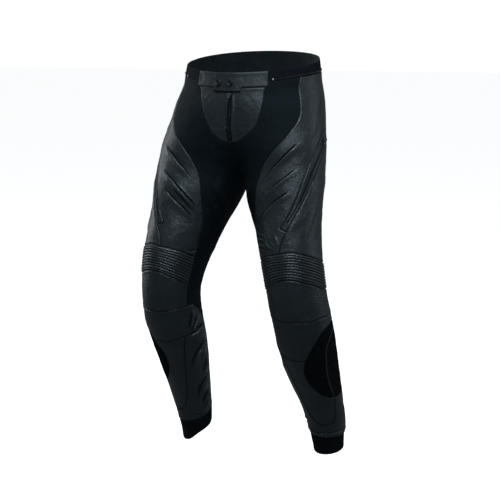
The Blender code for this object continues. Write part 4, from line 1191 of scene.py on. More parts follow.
INNER_CLEAR = 4.5
FAR_IN = 50.0
DENSE_CLEAR = 3.6
DENSE_OWN = 1.0
RING_KEPT = 0.92
STITCH_KEPT = 0.93
THREAD_LIFT = 0.12
CUT_ANGLE = 3
LEAST_FILLED = 0.4
FILLED = 0.75

PIECES = {}
CUTS = {}
THREAD_ROWS = {"left": [], "right": []}


def placed(name, data):
    """A new object in the scene."""
    made = bpy.data.objects.new(name, data)
    bpy.context.collection.objects.link(made)
    return made


def new_piece(name, mesh):
    PIECES[name] = placed(name, mesh)
    return PIECES[name]


def search_tree(places):
    tree = KDTree(len(places))
    for k, place in enumerate(places):
        tree.insert(place, k)
    tree.balance()
    return tree


def at_edge(outline, amount):
    """Points moved from a flat-laid outline towards its inside, as (turn, drop)."""
    middle = (outline[:, 0].min() + outline[:, 0].max()) / 2
    laid = flat(outline, middle)
    along = np.roll(laid, -1, axis=0) - np.roll(laid, 1, axis=0)
    along /= np.maximum(np.linalg.norm(along, axis=1, keepdims=True), 1e-9)
    across = np.stack([along[:, 1], -along[:, 0]], axis=-1)
    return unflat(laid + across * amount, middle)


def edge_tree(outline):
    """Search tree of the outline on the cloth, sampled finely."""
    closed = np.vstack([outline, outline[:1]])
    share = np.arange(0, len(closed) - 1, 0.15)
    turns = np.interp(share, np.arange(len(closed)), closed[:, 0])
    drops = np.interp(share, np.arange(len(closed)), closed[:, 1])
    return search_tree(body(turns, drops))


def edge_gap(tree, params):
    return np.array([tree.find(p)[2] for p in body(params[:, 0], params[:, 1])])


def thinned(first, second, middle, own, other):
    """The first points without near doubles, and those of the second that aren't close to them."""
    if not len(first):
        return second
    kept, seen = [], set()
    laid = flat(first, middle)
    for k, (x, y) in enumerate(laid):
        cell = (round(x / own), round(y / own))
        if cell not in seen:
            seen.add(cell)
            kept.append(k)
    first = first[kept]
    tree = search_tree([(x, y, 0) for x, y in laid[kept]])
    far = [tree.find((x, y, 0))[2] > other for x, y in flat(second, middle)]
    return np.vstack([first, second[np.array(far, dtype=bool)]])


def inner_rise(params, wall):
    """The plain inside: it follows only the folds that the whole wall makes."""
    return soft_folds(params) - wall


def flat_cut(laid):
    """Width, length and area in mm of the piece before sewing.

    They are those of the smallest rectangle round its outline. A piece that bends round the leg fills little
    of that, so its width is then worked out from its area.
    """
    x, y = laid.T
    area = abs(np.sum(x * np.roll(y, -1) - np.roll(x, -1) * y)) / 2
    best = None
    for angle in np.radians(np.arange(0, 90, CUT_ANGLE)):
        across = np.ptp(x * math.cos(angle) + y * math.sin(angle))
        along = np.ptp(y * math.cos(angle) - x * math.sin(angle))
        if best is None or across * along < best[0] * best[1]:
            best = (across, along)
    short, long = sorted(best)
    if area < LEAST_FILLED * short * long:
        short = area / (FILLED * long)
    return short, long, area


def kept_inside(points, piece, clear):
    """Those of the points that lie inside a piece and clear of its seams."""
    laid, middle, tree = piece
    points = points[inside(flat(points, middle), laid)]
    return points[edge_gap(tree, points) > clear] if len(points) else points


def ring_points(outline, piece, rows):
    """Rings of points beside the seams, where the cloth rolls, but none beside the rows of ribs."""
    rings = []
    for gap in RING_STEPS:
        ring = kept_inside(at_edge(outline, gap), piece, RING_KEPT * gap)
        if rows:
            tops = np.vstack(rows)
            low, high = tops[:, 1].min() - 1, tops[:, 1].max() + 1
            ring = ring[(ring[:, 1] < low) | (ring[:, 1] > high)]
        rings.append(ring)
    return rings


def spread_points(outline, piece, kind, step, folded):
    """Points over the inside of a piece, closer together where its relief is fine."""
    middle = piece[1]
    spread = kept_inside(lattice(outline, step), piece, RING_STEPS[-1] + 0.5 * step)
    if not folded:
        return spread
    extra = dense_points(kind)
    extra[:, 0] = turned_near(extra[:, 0], middle)
    return thinned(kept_inside(extra, piece, DENSE_CLEAR), spread, middle, DENSE_OWN, 0.45 * step)


def lifted(lift, params):
    """The lift of a piece at its points: one value, or a function of them."""
    return lift(params) if callable(lift) else lift


def lay_threads(mesh, laid):
    """Flat places of the points, in mm, for threads that follow the piece."""
    corner = np.empty(len(mesh.loops), dtype=np.int32)
    mesh.loops.foreach_get("vertex_index", corner)
    layer = mesh.uv_layers.new(name="cloth")
    layer.data.foreach_set("uv", (laid * MM)[corner].astype(np.float32).ravel())


def line_inside(mesh, surface, outer_count):
    """The outer faces in their own surface, and all the others in the lining's."""
    mesh.materials.append(SURFACES[surface])
    mesh.materials.append(SURFACES["lining"])
    total = len(mesh.polygons)
    mesh.polygons.foreach_set("material_index", (np.arange(total) >= outer_count).astype(np.int32))
    mesh.polygons.foreach_set("use_smooth", np.ones(total, dtype=bool))


def store_relief(mesh, height, painted_shade, inner_count):
    """How far each point stands out, which lightens the leather as wear and painted highlight, and how much
    painted shade it gets.
    """
    # raised: wear and painted highlight on the leather; the second attribute is painted shade
    for title, values in (("raised", height / 3.5 + 0.35), ("painted_shade", painted_shade)):
        values = np.append(np.clip(values, 0, 1), np.zeros(inner_count))
        made = mesh.attributes.new(title, "FLOAT", "POINT")
        made.data.foreach_set("value", values.astype(np.float32))


def sharpen_rim(mesh, count, outer_count):
    """Hard edges along the cut edge of both faces."""
    rim = {tuple(sorted((i + shift, j + shift))) for i, j in round_pairs(count) for shift in (0, outer_count)}
    sharp = mesh.attributes.new("sharp_edge", "BOOLEAN", "EDGE")
    sharp.data.foreach_set("value", [tuple(sorted(e.vertices)) in rim for e in mesh.edges])


def cloth(name, outline, wall, surface, kind="plain", word="left", step=3.6, lift=0.0, rows=(), folded=True,
          stitched=False, rolled=True):
    """One cut piece as a thin closed sheet on the form. rows are lines of points that its mesh keeps."""
    LEG["word"] = word
    middle = (outline[:, 0].min() + outline[:, 0].max()) / 2
    x, y = flat(outline, middle).T
    if np.sum(x * np.roll(y, -1) - np.roll(x, -1) * y) > 0:
        outline = outline[::-1].copy()
    laid = flat(outline, middle)
    CUTS[name] = flat_cut(laid)
    count = len(outline)
    tree = edge_tree(outline)
    piece = (laid, middle, tree)
    outline_in = at_edge(outline, EDGE_INSET)
    fixed, chains, total = [outline_in], [], count
    for row in rows:
        chains.append(list(range(total, total + len(row))))
        fixed.append(row)
        total += len(row)
    fixed += ring_points(outline, piece, rows)
    if not rows:
        fixed.append(spread_points(outline, piece, kind, step, folded))
    outer = np.vstack(fixed)
    inner = np.vstack([outline_in, kept_inside(lattice(outline, INNER_STEP), piece, INNER_CLEAR)])
    outer_faces = triangulate(outer, middle, count, chains)
    inner_faces = triangulate(inner, middle, count, [])
    gap = edge_gap(tree, outer)
    gap[:count] = 0
    places, normals = on_form(outer)
    height, painted_shade = cloth_relief(outer, gap if rolled else gap + FAR_IN, kind if folded else "flat")
    height += broad_rumple(places) + FINE_RUMPLE * rumple(places, FINE_RUMPLE_SIZE, 2)
    base = soft_folds(outer) if folded else np.zeros(len(outer))
    height = np.maximum(height, base - DEEPEST)
    top = places + normals * (height + lifted(lift, outer))[:, None]
    under, under_normals = on_form(inner)
    below = inner_rise(inner, wall) if folded else np.full(len(inner), -wall)
    under = under + under_normals * (below + lifted(lift, inner))[:, None]
    points, n = np.vstack([top, under]), len(top)
    faces = list(outer_faces) + [(a + n, c + n, b + n) for a, b, c in inner_faces]
    for i, j in round_pairs(count):
        faces += [(j, i, i + n), (j, i + n, j + n)]
    points[:, 0] *= SIDES[word]
    if SIDES[word] < 0:
        faces = [tuple(reversed(f)) for f in faces]
    mesh = bpy.data.meshes.new(name)
    mesh.from_pydata((points * MM).tolist(), [], faces)
    line_inside(mesh, surface, len(outer_faces))
    lay_threads(mesh, flat(np.vstack([outer, inner]), middle))
    store_relief(mesh, height, painted_shade, len(inner))
    sharpen_rim(mesh, count, n)
    mesh.update()
    new_piece(name, mesh)
    if stitched:
        stitch_rows(outline, tree, kind if folded else "flat", word, lift)


def stitch_rows(outline, tree, kind, word, lift):
    """Lines for the thread, a few mm in from the sewn edges."""
    line = at_edge(outline, STITCH_INSET)
    line = np.vstack([line, line[:1]])
    gap = edge_gap(tree, line)
    good = gap > STITCH_KEPT * STITCH_INSET
    places, normals = on_form(line)
    height = cloth_relief(line, gap, kind)[0] + broad_rumple(places)
    places = places + normals * (height + lifted(lift, line) + THREAD_LIFT)[:, None]
    mirror = np.array([SIDES[word], 1, 1])
    run = []
    for place, normal, ok in zip(places * mirror, normals * mirror, good):
        if ok:
            run.append((place, normal))
        if not ok or len(run) == len(line):
            if len(run) > 3:
                THREAD_ROWS[word].append(run)
            run = []
    if len(run) > 3:
        THREAD_ROWS[word].append(run)


def loop_line(*names):
    """Seams joined end to end into one open line."""
    line = LINES[names[0]]
    for name in names[1:]:
        line = np.vstack([line, LINES[name][1:]])
    return line


def ribbon(line, half):
    """Outline of a strip of even width along a (turn, drop) line."""
    middle = line[:, 0].mean()
    laid = flat(line, middle)
    along = np.gradient(laid, axis=0)
    along /= np.linalg.norm(along, axis=1, keepdims=True)
    across = np.stack([-along[:, 1], along[:, 0]], axis=-1) * half
    return unflat(np.vstack([laid + across, (laid - across)[::-1]]), middle)


def pocket_line():
    """Line of the pocket zip, midway between the long edges of its strip."""
    share = np.linspace(0, 1, 30)
    sides = []
    for line in (LINES["strip front"], LINES["strip back"]):
        t = np.linspace(0, 1, len(line))
        sides.append(np.stack([np.interp(share, t, line[:, 0]), np.interp(share, t, line[:, 1])], axis=-1))
    path = (sides[0] + sides[1]) / 2
    keep = (path[:, 1] > POCKET_ZIP_TOP) & (path[:, 1] < POCKET_ZIP_FOOT)
    return path[keep]


def rib_lines():
    """Lines along the ribs, several to a rib, from one side seam to the other."""
    upper, lower = loop_line("rib top in", "rib top out"), LINES["rib foot"]
    inner, outer = LINES["rib inner"], LINES["rib outer"]
    lines = []
    for k in range(1, RIB_COUNT * 7):
        share = k / (RIB_COUNT * 7)
        turns = np.linspace(-75, 140, 400)
        top = np.interp(turns, upper[:, 0], upper[:, 1])
        foot = np.interp(turns, lower[:, 0], lower[:, 1])
        drops = top + (foot - top) * share
        order_in, order_out = np.argsort(inner[:, 1]), np.argsort(outer[:, 1])
        first = np.interp(drops, inner[order_in, 1], inner[order_in, 0])
        last = np.interp(drops, outer[order_out, 1], outer[order_out, 0])
        keep = (turns > first + 0.6) & (turns < last - 0.6)
        line = np.stack([turns[keep], drops[keep]], axis=-1)
        lines.append(steps(line, 4.5))
    return lines


# %% [markdown]
# ## The pieces of both legs
# Each row below is one piece: its name, surface and kind of relief, and the seams that bound it in order. A
# seam with - before it is run backwards. Both legs use the same pattern, but the right leg has settled a
# little differently, as it does on a wearer.

# %% Cut and sew
PATTERN = [
    ("waistband_front", "leather", "plain",
     "waist front, band end upper, band end lower, -band foot end, -band foot, -band foot inner, "
     "-band middle"),
    ("waistband_side", "waist cloth", "soft",
     "waist side, band back end, -seat top, -thigh top, -stretch top, -band end upper"),
    ("stretch_front", "stretch", "soft",
     "stretch top, stretch side, rib inner, knee inner, stretch foot, stretch back low, stretch back, "
     "-crotch, -zip foot, -fly side, band foot end, -band end lower"),
    ("thigh_front", "leather", "pleated",
     "thigh top, side upper, strip top, strip front, strip foot, short seam, -rib top in, -stretch side"),
    ("pocket_strip", "strip leather", "plain",
     "strip top, strip front, strip foot, -strip back"),
    ("thigh_outer", "leather", "plain",
     "side lower, -rib top out, -short seam, -strip back"),
    ("seat_back", "leather", "plain",
     "seat top, seat top back, -seat middle, -stretch back, -thigh back foot, -side lower, -side upper"),
    ("knee_ribs", "leather", "ribbed",
     "rib top in, rib top out, rib outer, -rib foot, -rib inner"),
    ("knee_upper", "leather", "plain",
     "rib foot, knee outer, -knee foot, -knee inner"),
    ("knee_lower", "leather", "plain",
     "knee foot, knee tail, patch top back, patch top front, lower knee foot, lower knee inner, "
     "-stretch foot"),
    ("knee_patch_front", "pile", "soft",
     "patch top front, patch front, -patch divide"),
    ("knee_patch_back", "brown pile", "soft",
     "patch top back, patch divide, patch foot, -patch back"),
    ("shin", "leather", "plain",
     "lower knee foot, shin inner, shin outer, -patch front"),
    ("calf_inner", "leather", "hemmed",
     "lower knee inner, calf inner, -hem inner, -under shin, -shin inner"),
    ("calf_outer", "leather", "hemmed",
     "patch foot, calf outer, -hem outer, -under shin, shin outer"),
    ("calf_back", "stretch", "soft hemmed",
     "thigh back foot, -stretch back low, calf inner, -hem back, -calf outer, -patch back, -knee tail, "
     "-knee outer, -rib outer"),
    ("cuff", "knit", "soft",
     "-hem inner, hem outer, hem back, cuff seam, -cuff foot, -cuff seam"),
]
WALLS = {"stretch": STRETCH, "knit": KNIT}
FINE = {"thigh_front": 3.0, "knee_ribs": 4.0, "fly_front": 2.6, "waistband_front": 2.8, "pocket_strip": 2.8}
SEWN_LEATHER = {"leather", "strip leather", "tab leather"}
BINDING_HALF, BINDING_WALL, BINDING_LIFT = 1.7, 0.8, 0.7
ZIP_LINES = {}


def use_leg(word):
    """Work on one leg from here on, with its own seams and creases."""
    LINES.clear()
    LINES.update(all_seams(word))
    LEG["word"] = word


for word in SIDES:
    use_leg(word)
    for name, surface, kind, seams in PATTERN:
        cloth(name + "_" + word, loop(*seams.split(", ")), WALLS.get(surface, LEATHER), surface, kind, word,
              FINE.get(name, 3.6), rows=rib_lines() if kind == "ribbed" else (),
              stitched=surface in SEWN_LEATHER)
    cloth("fly_front_" + word, loop(fly_edge(SIDES[word]), "-fly side", "-band foot"), LEATHER, "leather",
          "welted" if word == "left" else "plain", word, FINE["fly_front"], stitched=True)
    cloth("patch_binding_" + word, ribbon(LINES["patch divide"][1:-1], BINDING_HALF), BINDING_WALL, "binding",
          "plain", word, 1.6, lift=BINDING_LIFT, rolled=False)
    ZIP_LINES["pocket_" + word] = steps(pocket_line(), SEAM_STEP)
    foot = loop_line("stretch top", "thigh top", "seat top")
    turns = np.linspace(JOIN_START[word], JOIN_END, 60)
    drops = np.interp(turns, foot[:, 0], foot[:, 1]) - JOIN_ABOVE
    ZIP_LINES["join_" + word] = np.stack([turns, drops], axis=-1)
    made = [o for n, o in PIECES.items() if n.endswith(word)]
    print(word, "leg:", len(made), "pieces,", sum(len(o.data.polygons) for o in made), "triangles")

cloth("waistband_back", loop("waist back", "-band back end right", "-seat top right", "-seat top back",
                             "-band back end"), LEATHER, "tab leather", "plain", stitched=True)

# %% [markdown]
# ## Tab, fly and zips
# The closure is the end of the left front waistband, laid over the right one with two snaps, above a zip
# whose left edge has a rolled leather welt. The pocket zips sit in the side strips, and a narrow zip along
# the foot of each side waistband takes a jacket. Teeth alternate from one tape to the other.

# %% Tab and zip tapes
TAPE_HALF = 3.6
TAPE_SINK = 0.9
TAPE_WALL = 0.8
TEETH_RISE = 0.5
SIDE_TAPE_WALL = 0.9
POCKET_TAPE_LIFT, JOIN_TAPE_LIFT = 0.7, 0.9
TAB_FADE = (4.0, 22.0)
TAB_SUNK = -0.4
TAB_END = 33
TAB_RISE = 0.6
TAB_STEP = 37.2

corners = []
for x, drop in ((TAB_RIGHT, TAB_RISE), (TAB_LEFT, TAB_RISE), (TAB_LEFT, TAB_STEP), (TAB_END, TAB_STEP),
                (TAB_END, TAB_FOOT), (TAB_RIGHT, TAB_FOOT)):
    turn = turn_at(abs(x), min(drop, 40))
    corners.append((math.copysign(turn, x), drop))
tab_sides = [curve([corners[i], corners[(i + 1) % len(corners)]]) for i in range(len(corners))]


def tab_lift(params):
    """Full height over the overlap, sinking into the left waistband that the tab is part of."""
    share = np.clip((params[:, 0] - TAB_FADE[0]) / (TAB_FADE[1] - TAB_FADE[0]), 0, 1)
    return (TAB_CLEAR + LEATHER) * (1 - eased(share)) + TAB_SUNK * share


cloth("waist_tab", loop(*tab_sides), LEATHER, "tab leather", step=2.4, lift=tab_lift, folded=False)


def front_place(x, drop):
    """Point and normal on the front of the fly, x to the wearer's left of the middle."""
    turn = turn_at(max(abs(x), 0.05), drop)
    mirror = np.array([math.copysign(1, x), 1, 1])
    point, normal = body(turn, drop) * mirror, outward(turn, drop) * mirror
    point[0] = x
    return point, normal


def fly_tape():
    """Tape of the fly zip and the line its teeth follow."""
    drops = np.append(np.arange(FLY_TOP + 2.5, FLY_FOOT - 1, 2.0), FLY_FOOT - 0.5)
    across = np.linspace(-TAPE_HALF, TAPE_HALF, 7)
    top, low, teeth = [], [], []
    for drop in drops:
        shift = float(wander(drop))
        for x in across:
            point, normal = front_place(shift + x, drop)
            top.append(point - normal * TAPE_SINK)
            low.append(point - normal * (TAPE_SINK + TAPE_WALL))
        point, normal = front_place(shift, drop)
        teeth.append((point - normal * (TAPE_SINK - TEETH_RISE), normal))
    wide, long = len(across), len(drops)
    n = wide * long
    faces = []
    for r in range(long - 1):
        for c in range(wide - 1):
            a = r * wide + c
            faces.append((a, a + wide, a + wide + 1, a + 1))
            faces.append((a + n, a + 1 + n, a + wide + 1 + n, a + wide + n))
    rim = list(range(wide)) + [r * wide + wide - 1 for r in range(1, long)]
    rim += [(long - 1) * wide + c for c in range(wide - 2, -1, -1)]
    rim += [r * wide for r in range(long - 2, 0, -1)]
    for a, b in zip(rim, rim[1:] + rim[:1]):
        faces.append((a, b, b + n, a + n))
    mesh = bpy.data.meshes.new("fly_zip_tape")
    mesh.from_pydata((np.array(top + low) * MM).tolist(), [], faces)
    mesh.materials.append(SURFACES["tape"])
    lay_threads(mesh, np.array([(x, drop) for drop in drops for x in across] * 2))
    mesh.shade_smooth()
    new_piece("fly_zip_tape", mesh)
    return teeth


TEETH_ROWS = {"fly": fly_tape()}


def zip_ribbon(name, line, half, lift, word):
    """Tape of a side zip and the line its teeth follow."""
    cloth(name, ribbon(line, half), SIDE_TAPE_WALL, "tape", "plain", word, 2.6, lift=lift, rolled=False)
    places, normals = on_form(line)
    height = cloth_relief(line, np.full(len(line), FAR_IN), "plain")[0] + broad_rumple(places)
    mirror = np.array([SIDES[word], 1, 1])
    places = (places + normals * (height + lift + TEETH_RISE)[:, None]) * mirror
    return list(zip(places, normals * mirror))


for word in SIDES:
    use_leg(word)
    TEETH_ROWS["pocket_" + word] = zip_ribbon("pocket_zip_tape_" + word, ZIP_LINES["pocket_" + word],
                                              POCKET_ZIP_SHOWN, POCKET_TAPE_LIFT, word)
    TEETH_ROWS["join_" + word] = zip_ribbon("connection_zip_tape_" + word, ZIP_LINES["join_" + word],
                                            JOIN_HALF, JOIN_TAPE_LIFT, word)


# %% [markdown]
# ## Repeated small parts
# A zip tooth and a stitch are the same all along their line. A node group resamples the line at its pitch,
# turns each copy to lie along the line and face outwards, and moves it sideways where the zip needs it.

# %% Node group for parts along a line
LEAST_SIZE, MOST_SIZE = 0.92, 1.06


def along_line_group():
    """Nodes that turn a line of (point, outward) vertices into a row of small rounded parts."""
    group = bpy.data.node_groups.new("parts_along_a_line", "GeometryNodeTree")
    sockets = {}
    for title, kind, value in (
        ("Geometry", "NodeSocketGeometry", None), ("Pitch", "NodeSocketFloat", 0.004),
        ("Length", "NodeSocketFloat", 0.003), ("Width", "NodeSocketFloat", 0.0008),
        ("Height", "NodeSocketFloat", 0.0006), ("Sideways", "NodeSocketFloat", 0.0),
        ("Segments", "NodeSocketInt", 6), ("Seed", "NodeSocketInt", 7),
        ("Material", "NodeSocketMaterial", None),
    ):
        sockets[title] = group.interface.new_socket(title, in_out="INPUT", socket_type=kind)
        if value is not None:
            sockets[title].default_value = value
    group.interface.new_socket("Geometry", in_out="OUTPUT", socket_type="NodeSocketGeometry")
    start = add_node(group, "NodeGroupInput").outputs
    line = add_node(group, "GeometryNodeMeshToCurve", {"Mesh": start["Geometry"]})
    spots = add_node(group, "GeometryNodeResampleCurve", {"Curve": line.outputs[0], "Length": start["Pitch"]},
                     mode="LENGTH")
    ball = add_node(group, "GeometryNodeMeshUVSphere",
                    {"Radius": 0.5, "Rings": 4, "Segments": start["Segments"]})
    size = add_node(group, "ShaderNodeCombineXYZ",
                    {0: start["Width"], 1: start["Length"], 2: start["Height"]})
    shape = add_node(group, "GeometryNodeTransform",
                     {"Geometry": ball.outputs["Mesh"], "Scale": size.outputs[0]})
    out = add_node(group, "GeometryNodeInputNamedAttribute", {"Name": "out"}, data_type="FLOAT_VECTOR")
    up = add_node(group, "FunctionNodeAlignRotationToVector", {"Vector": out.outputs["Attribute"]}, axis="Z")
    tangent = add_node(group, "GeometryNodeInputTangent")
    forward = add_node(group, "FunctionNodeAlignRotationToVector",
                       {"Rotation": up.outputs[0], "Vector": tangent.outputs[0]}, axis="Y", pivot_axis="Z")
    vary = add_node(group, "FunctionNodeRandomValue", {2: LEAST_SIZE, 3: MOST_SIZE, "Seed": start["Seed"]})
    place = add_node(group, "GeometryNodeInstanceOnPoints",
                     {"Points": spots.outputs[0], "Instance": shape.outputs[0],
                      "Rotation": forward.outputs[0], "Scale": vary.outputs[1]})
    odd = math_node(group, "MODULO", add_node(group, "GeometryNodeInputIndex").outputs[0], 2.0)
    swing = math_node(group, "SUBTRACT", math_node(group, "MULTIPLY", odd, 2.0), 1.0)
    shift = add_node(group, "ShaderNodeCombineXYZ",
                     {0: math_node(group, "MULTIPLY", swing, start["Sideways"])})
    move = add_node(group, "GeometryNodeTranslateInstances",
                    {"Instances": place.outputs[0], "Translation": shift.outputs[0]})
    real = add_node(group, "GeometryNodeRealizeInstances", {0: move.outputs[0]})
    finish = add_node(group, "GeometryNodeSetMaterial",
                      {"Geometry": real.outputs[0], "Material": start["Material"]})
    add_node(group, "NodeGroupOutput", {0: finish.outputs[0]})
    return group, {title: socket.identifier for title, socket in sockets.items()}


PARTS_GROUP, PARTS_INPUT = along_line_group()


def parts_along(name, rows, surface, **inputs):
    """One piece made of a small part repeated along rows of (point, normal)."""
    points, edges, outs = [], [], []
    for row in rows:
        start = len(points)
        points += [tuple(p * MM) for p, _ in row]
        outs += [n for _, n in row]
        edges += [(k, k + 1) for k in range(start, len(points) - 1)]
    mesh = bpy.data.meshes.new(name)
    mesh.from_pydata(points, edges, [])
    layer = mesh.attributes.new("out", "FLOAT_VECTOR", "POINT")
    layer.data.foreach_set("vector", np.array(outs, dtype=np.float32).ravel())
    made = new_piece(name, mesh)
    nodes = made.modifiers.new("parts", "NODES")
    nodes.node_group = PARTS_GROUP
    for title, value in {**inputs, "Material": SURFACES[surface]}.items():
        nodes[PARTS_INPUT[title]] = value
    depsgraph = bpy.context.evaluated_depsgraph_get()
    final = bpy.data.meshes.new_from_object(made.evaluated_get(depsgraph))
    made.modifiers.clear()
    made.data = final
    final.materials.clear()
    final.materials.append(SURFACES[surface])
    final.polygons.foreach_set("material_index", np.zeros(len(final.polygons), dtype=np.int32))
    final.shade_smooth()
    print(name, len(final.polygons), "faces")


# %% Stitches and teeth
for word in ("left", "right"):
    parts_along("stitches_" + word, THREAD_ROWS[word], "thread", Pitch=0.0040, Length=0.0031, Width=0.0009,
                Height=0.0007, Segments=6)
for title, row in TEETH_ROWS.items():
    bright = title.startswith(("fly", "join"))
    parts_along("teeth_" + title, [row], "worn teeth" if bright else "teeth", Pitch=0.0013, Length=0.0010,
                Width=0.0018, Height=0.0012, Sideways=0.0005, Segments=8)


# %% [markdown]
# ## Metal parts
# Sliders, pulls, snaps and the end stops of the waist zip are die-cast or stamped metal with softened edges.
# A slider stays on its zip, and its pull is a separate flat tongue that swings on a pin between two ears.

# %% Sliders and pulls
PIVOT_OUT = 4.3
SLIDER_CLEAR = 0.4
CLEAR = 0.3
ZIP_RISE = 1.2
FLY_PULL = 10.5
POCKET_PULL = 24.0
SHARP_ANGLE = 0.6

# The slider in mm: the outline of its shield, and the low and high sides of its parts above the cloth
SHIELD = [(3.9, -1.6), (3.5, -2.0), (1.2, -2.0), (0, -1.4), (-1.2, -2.0), (-3.5, -2.0), (-3.9, -1.6),
          (-4.0, 2.2), (-2.9, 7.4), (-2.3, 7.9), (2.3, 7.9), (2.9, 7.4), (4.0, 2.2)]
UPPER_PLATE, LOWER_PLATE, BRIDGE, EARS = (1.5, 2.4), (0.0, 0.7), (0.5, 1.7), (2.2, 5.6)
EAR_APART = 2.3
PIN_RADIUS, PIN_HALF = 0.55, 2.7

# Half the outline of a pull in mm: its neck from the pin, and how far its foot's points lie from its end
PULL_NECK = [(1.35, -1.0), (1.35, 3.0), (2.75, 4.8)]
PULL_FOOT = [(2.75, 1.8), (2.3, 0.6), (1.3, 0.1)]
PULL_HALF_THICK = 0.75


def frame_at(params, ahead):
    """Origin and axes on the cloth: sideways, along towards the second point, outwards."""
    point, normal = body(*params), outward(*params)
    along = body(*ahead) - point
    along -= normal * np.dot(along, normal)
    along /= np.linalg.norm(along)
    return point, np.cross(along, normal), along, normal


def plate(work, outline, low, high, soften=0.4, recess=0.0):
    """A flat part cut to an outline, with rounded edges and, if asked, a sunken face."""
    under = [work.verts.new((x, y, low)) for x, y in outline]
    over = [work.verts.new((x, y, high)) for x, y in outline]
    top = work.faces.new(over)
    faces = [top, work.faces.new(under[::-1])]
    for k, j in round_pairs(len(outline)):
        faces.append(work.faces.new((under[k], under[j], over[j], over[k])))
    bmesh.ops.recalc_face_normals(work, faces=faces)
    if recess:
        bmesh.ops.inset_individual(work, faces=[top], thickness=2.2 * recess, depth=0)
        bmesh.ops.inset_individual(work, faces=[top], thickness=0.3 * recess, depth=-recess)
    edges = {e for f in faces if f.is_valid for e in f.edges}
    edges = [e for e in edges if e.is_valid and len(e.link_faces) == 2]
    sharp = [e for e in edges if e.calc_face_angle(0) > SHARP_ANGLE]
    bmesh.ops.bevel(work, geom=sharp, offset=soften, segments=2, affect="EDGES", profile=0.6,
                    clamp_overlap=True)


def rod(work, radius, half, height, count=14):
    """A pin lying sideways at a height."""
    rings = []
    for x in (-half, half):
        rings.append([work.verts.new((x, radius * math.cos(a), height + radius * math.sin(a)))
                      for a in np.linspace(0, math.tau, count, endpoint=False)])
    for k, j in round_pairs(count):
        work.faces.new((rings[0][k], rings[0][j], rings[1][j], rings[1][k]))
    work.faces.new(rings[0][::-1])
    work.faces.new(rings[1])


def metal_piece(name, work, spot, lift, side, surface):
    """Move a part made in its own axes onto the cloth, in metres."""
    origin, sideways, along, out = spot
    mirror = np.array([side, 1, 1])
    for vertex in work.verts:
        x, y, z = vertex.co
        vertex.co = (origin + sideways * x + along * y + out * (z + lift)) * mirror * MM
    bmesh.ops.recalc_face_normals(work, faces=work.faces)
    mesh = bpy.data.meshes.new(name)
    work.to_mesh(mesh)
    work.free()
    mesh.shade_smooth()
    mesh.materials.append(SURFACES[surface])
    new_piece(name, mesh)


def rounded(half, low, high, radius, count=5):
    """Outline of a plate with rounded corners."""
    points = []
    for x, y, start in ((half, high, 0), (-half, high, 90), (-half, low, 180), (half, low, 270)):
        middle = (x - math.copysign(radius, x), y - math.copysign(radius, y - (low + high) / 2))
        for angle in np.radians(np.linspace(start, start + 90, count)):
            points.append((middle[0] + radius * math.cos(angle), middle[1] + radius * math.sin(angle)))
    return points


def slider(name, spot, lift, side):
    work = bmesh.new()
    plate(work, SHIELD, *UPPER_PLATE, 0.3)
    plate(work, [(x * 0.94, y * 0.96) for x, y in SHIELD], *LOWER_PLATE, 0.2)
    plate(work, rounded(0.9, -1.6, 1.4, 0.5, 3), *BRIDGE, 0.1)
    for x in (-EAR_APART, EAR_APART):
        plate(work, [(x + u, v) for u, v in rounded(0.6, -1.9, 1.9, 0.5, 3)], *EARS, 0.3)
    rod(work, PIN_RADIUS, PIN_HALF, PIVOT_OUT)
    metal_piece(name, work, spot, lift, side, "dark metal")


def pull(name, spot, lift, side, length):
    work = bmesh.new()
    half = PULL_NECK + [(x, length - up) for x, up in PULL_FOOT]
    outline = half + [(-x, y) for x, y in half[::-1]]
    plate(work, outline, PIVOT_OUT - PULL_HALF_THICK, PIVOT_OUT + PULL_HALF_THICK, 0.35, recess=0.45)
    metal_piece(name, work, spot, lift, side, "dark metal")


def front_frame(x, drop, lift):
    """Frame on the waistband front, x to the wearer's left of the middle."""
    point, normal = front_place(x, drop)
    down = front_place(x, drop + 4)[0] - front_place(x, drop - 4)[0]
    down /= np.linalg.norm(down)
    return point + normal * lift, np.cross(down, normal), down, normal


for word, side in SIDES.items():
    line = steps(ZIP_LINES["pocket_" + word], 16)
    spot = frame_at(tuple(line[0] + (line[1] - line[0]) * 0.1), tuple(line[1]))
    lift = CLEAR + ZIP_RISE + SLIDER_CLEAR
    slider("pocket_slider_metal_" + word, spot, lift, side)
    pull("pocket_pull_metal_" + word, spot, lift, side, POCKET_PULL)
slider_drop = TAB_FOOT + 4
spot = front_frame(float(wander(slider_drop)), slider_drop, 0.0)
slider("fly_slider_metal", spot, SLIDER_CLEAR, 1)
pull("fly_pull_metal", spot, SLIDER_CLEAR, 1, FLY_PULL)


# %% Snaps and end stops
SNAP_RADIUS = 7.0
SNAP_HEIGHT = 2.6
SNAP_LIFT = 0.4
END_STOP_LIFT = 0.4
SNAP_PROFILE = [(0, 0.78), (0.34, 0.76), (0.52, 0.66), (0.60, 0.62), (0.66, 0.70), (0.74, 0.92), (0.82, 1.0),
                (0.90, 0.97), (0.97, 0.80), (1.0, 0.5), (1.0, 0.0)]


def snap(name, spot):
    """A stamped snap cap: a low dome in a raised rim."""
    work = bmesh.new()
    count = 48
    rings = []
    for share, height in SNAP_PROFILE:
        if share == 0:
            rings.append([work.verts.new((0, 0, height * SNAP_HEIGHT))] * count)
            continue
        rings.append([work.verts.new((share * SNAP_RADIUS * math.cos(a), share * SNAP_RADIUS * math.sin(a),
                                      height * SNAP_HEIGHT))
                      for a in np.linspace(0, math.tau, count, endpoint=False)])
    for upper, lower in zip(rings[:-1], rings[1:]):
        for k, j in round_pairs(count):
            corners = [upper[k], lower[k], lower[j], upper[j]]
            work.faces.new(list(dict.fromkeys(corners)))
    work.faces.new(rings[-1][::-1])
    metal_piece(name, work, spot, 0, 1, "snap metal")


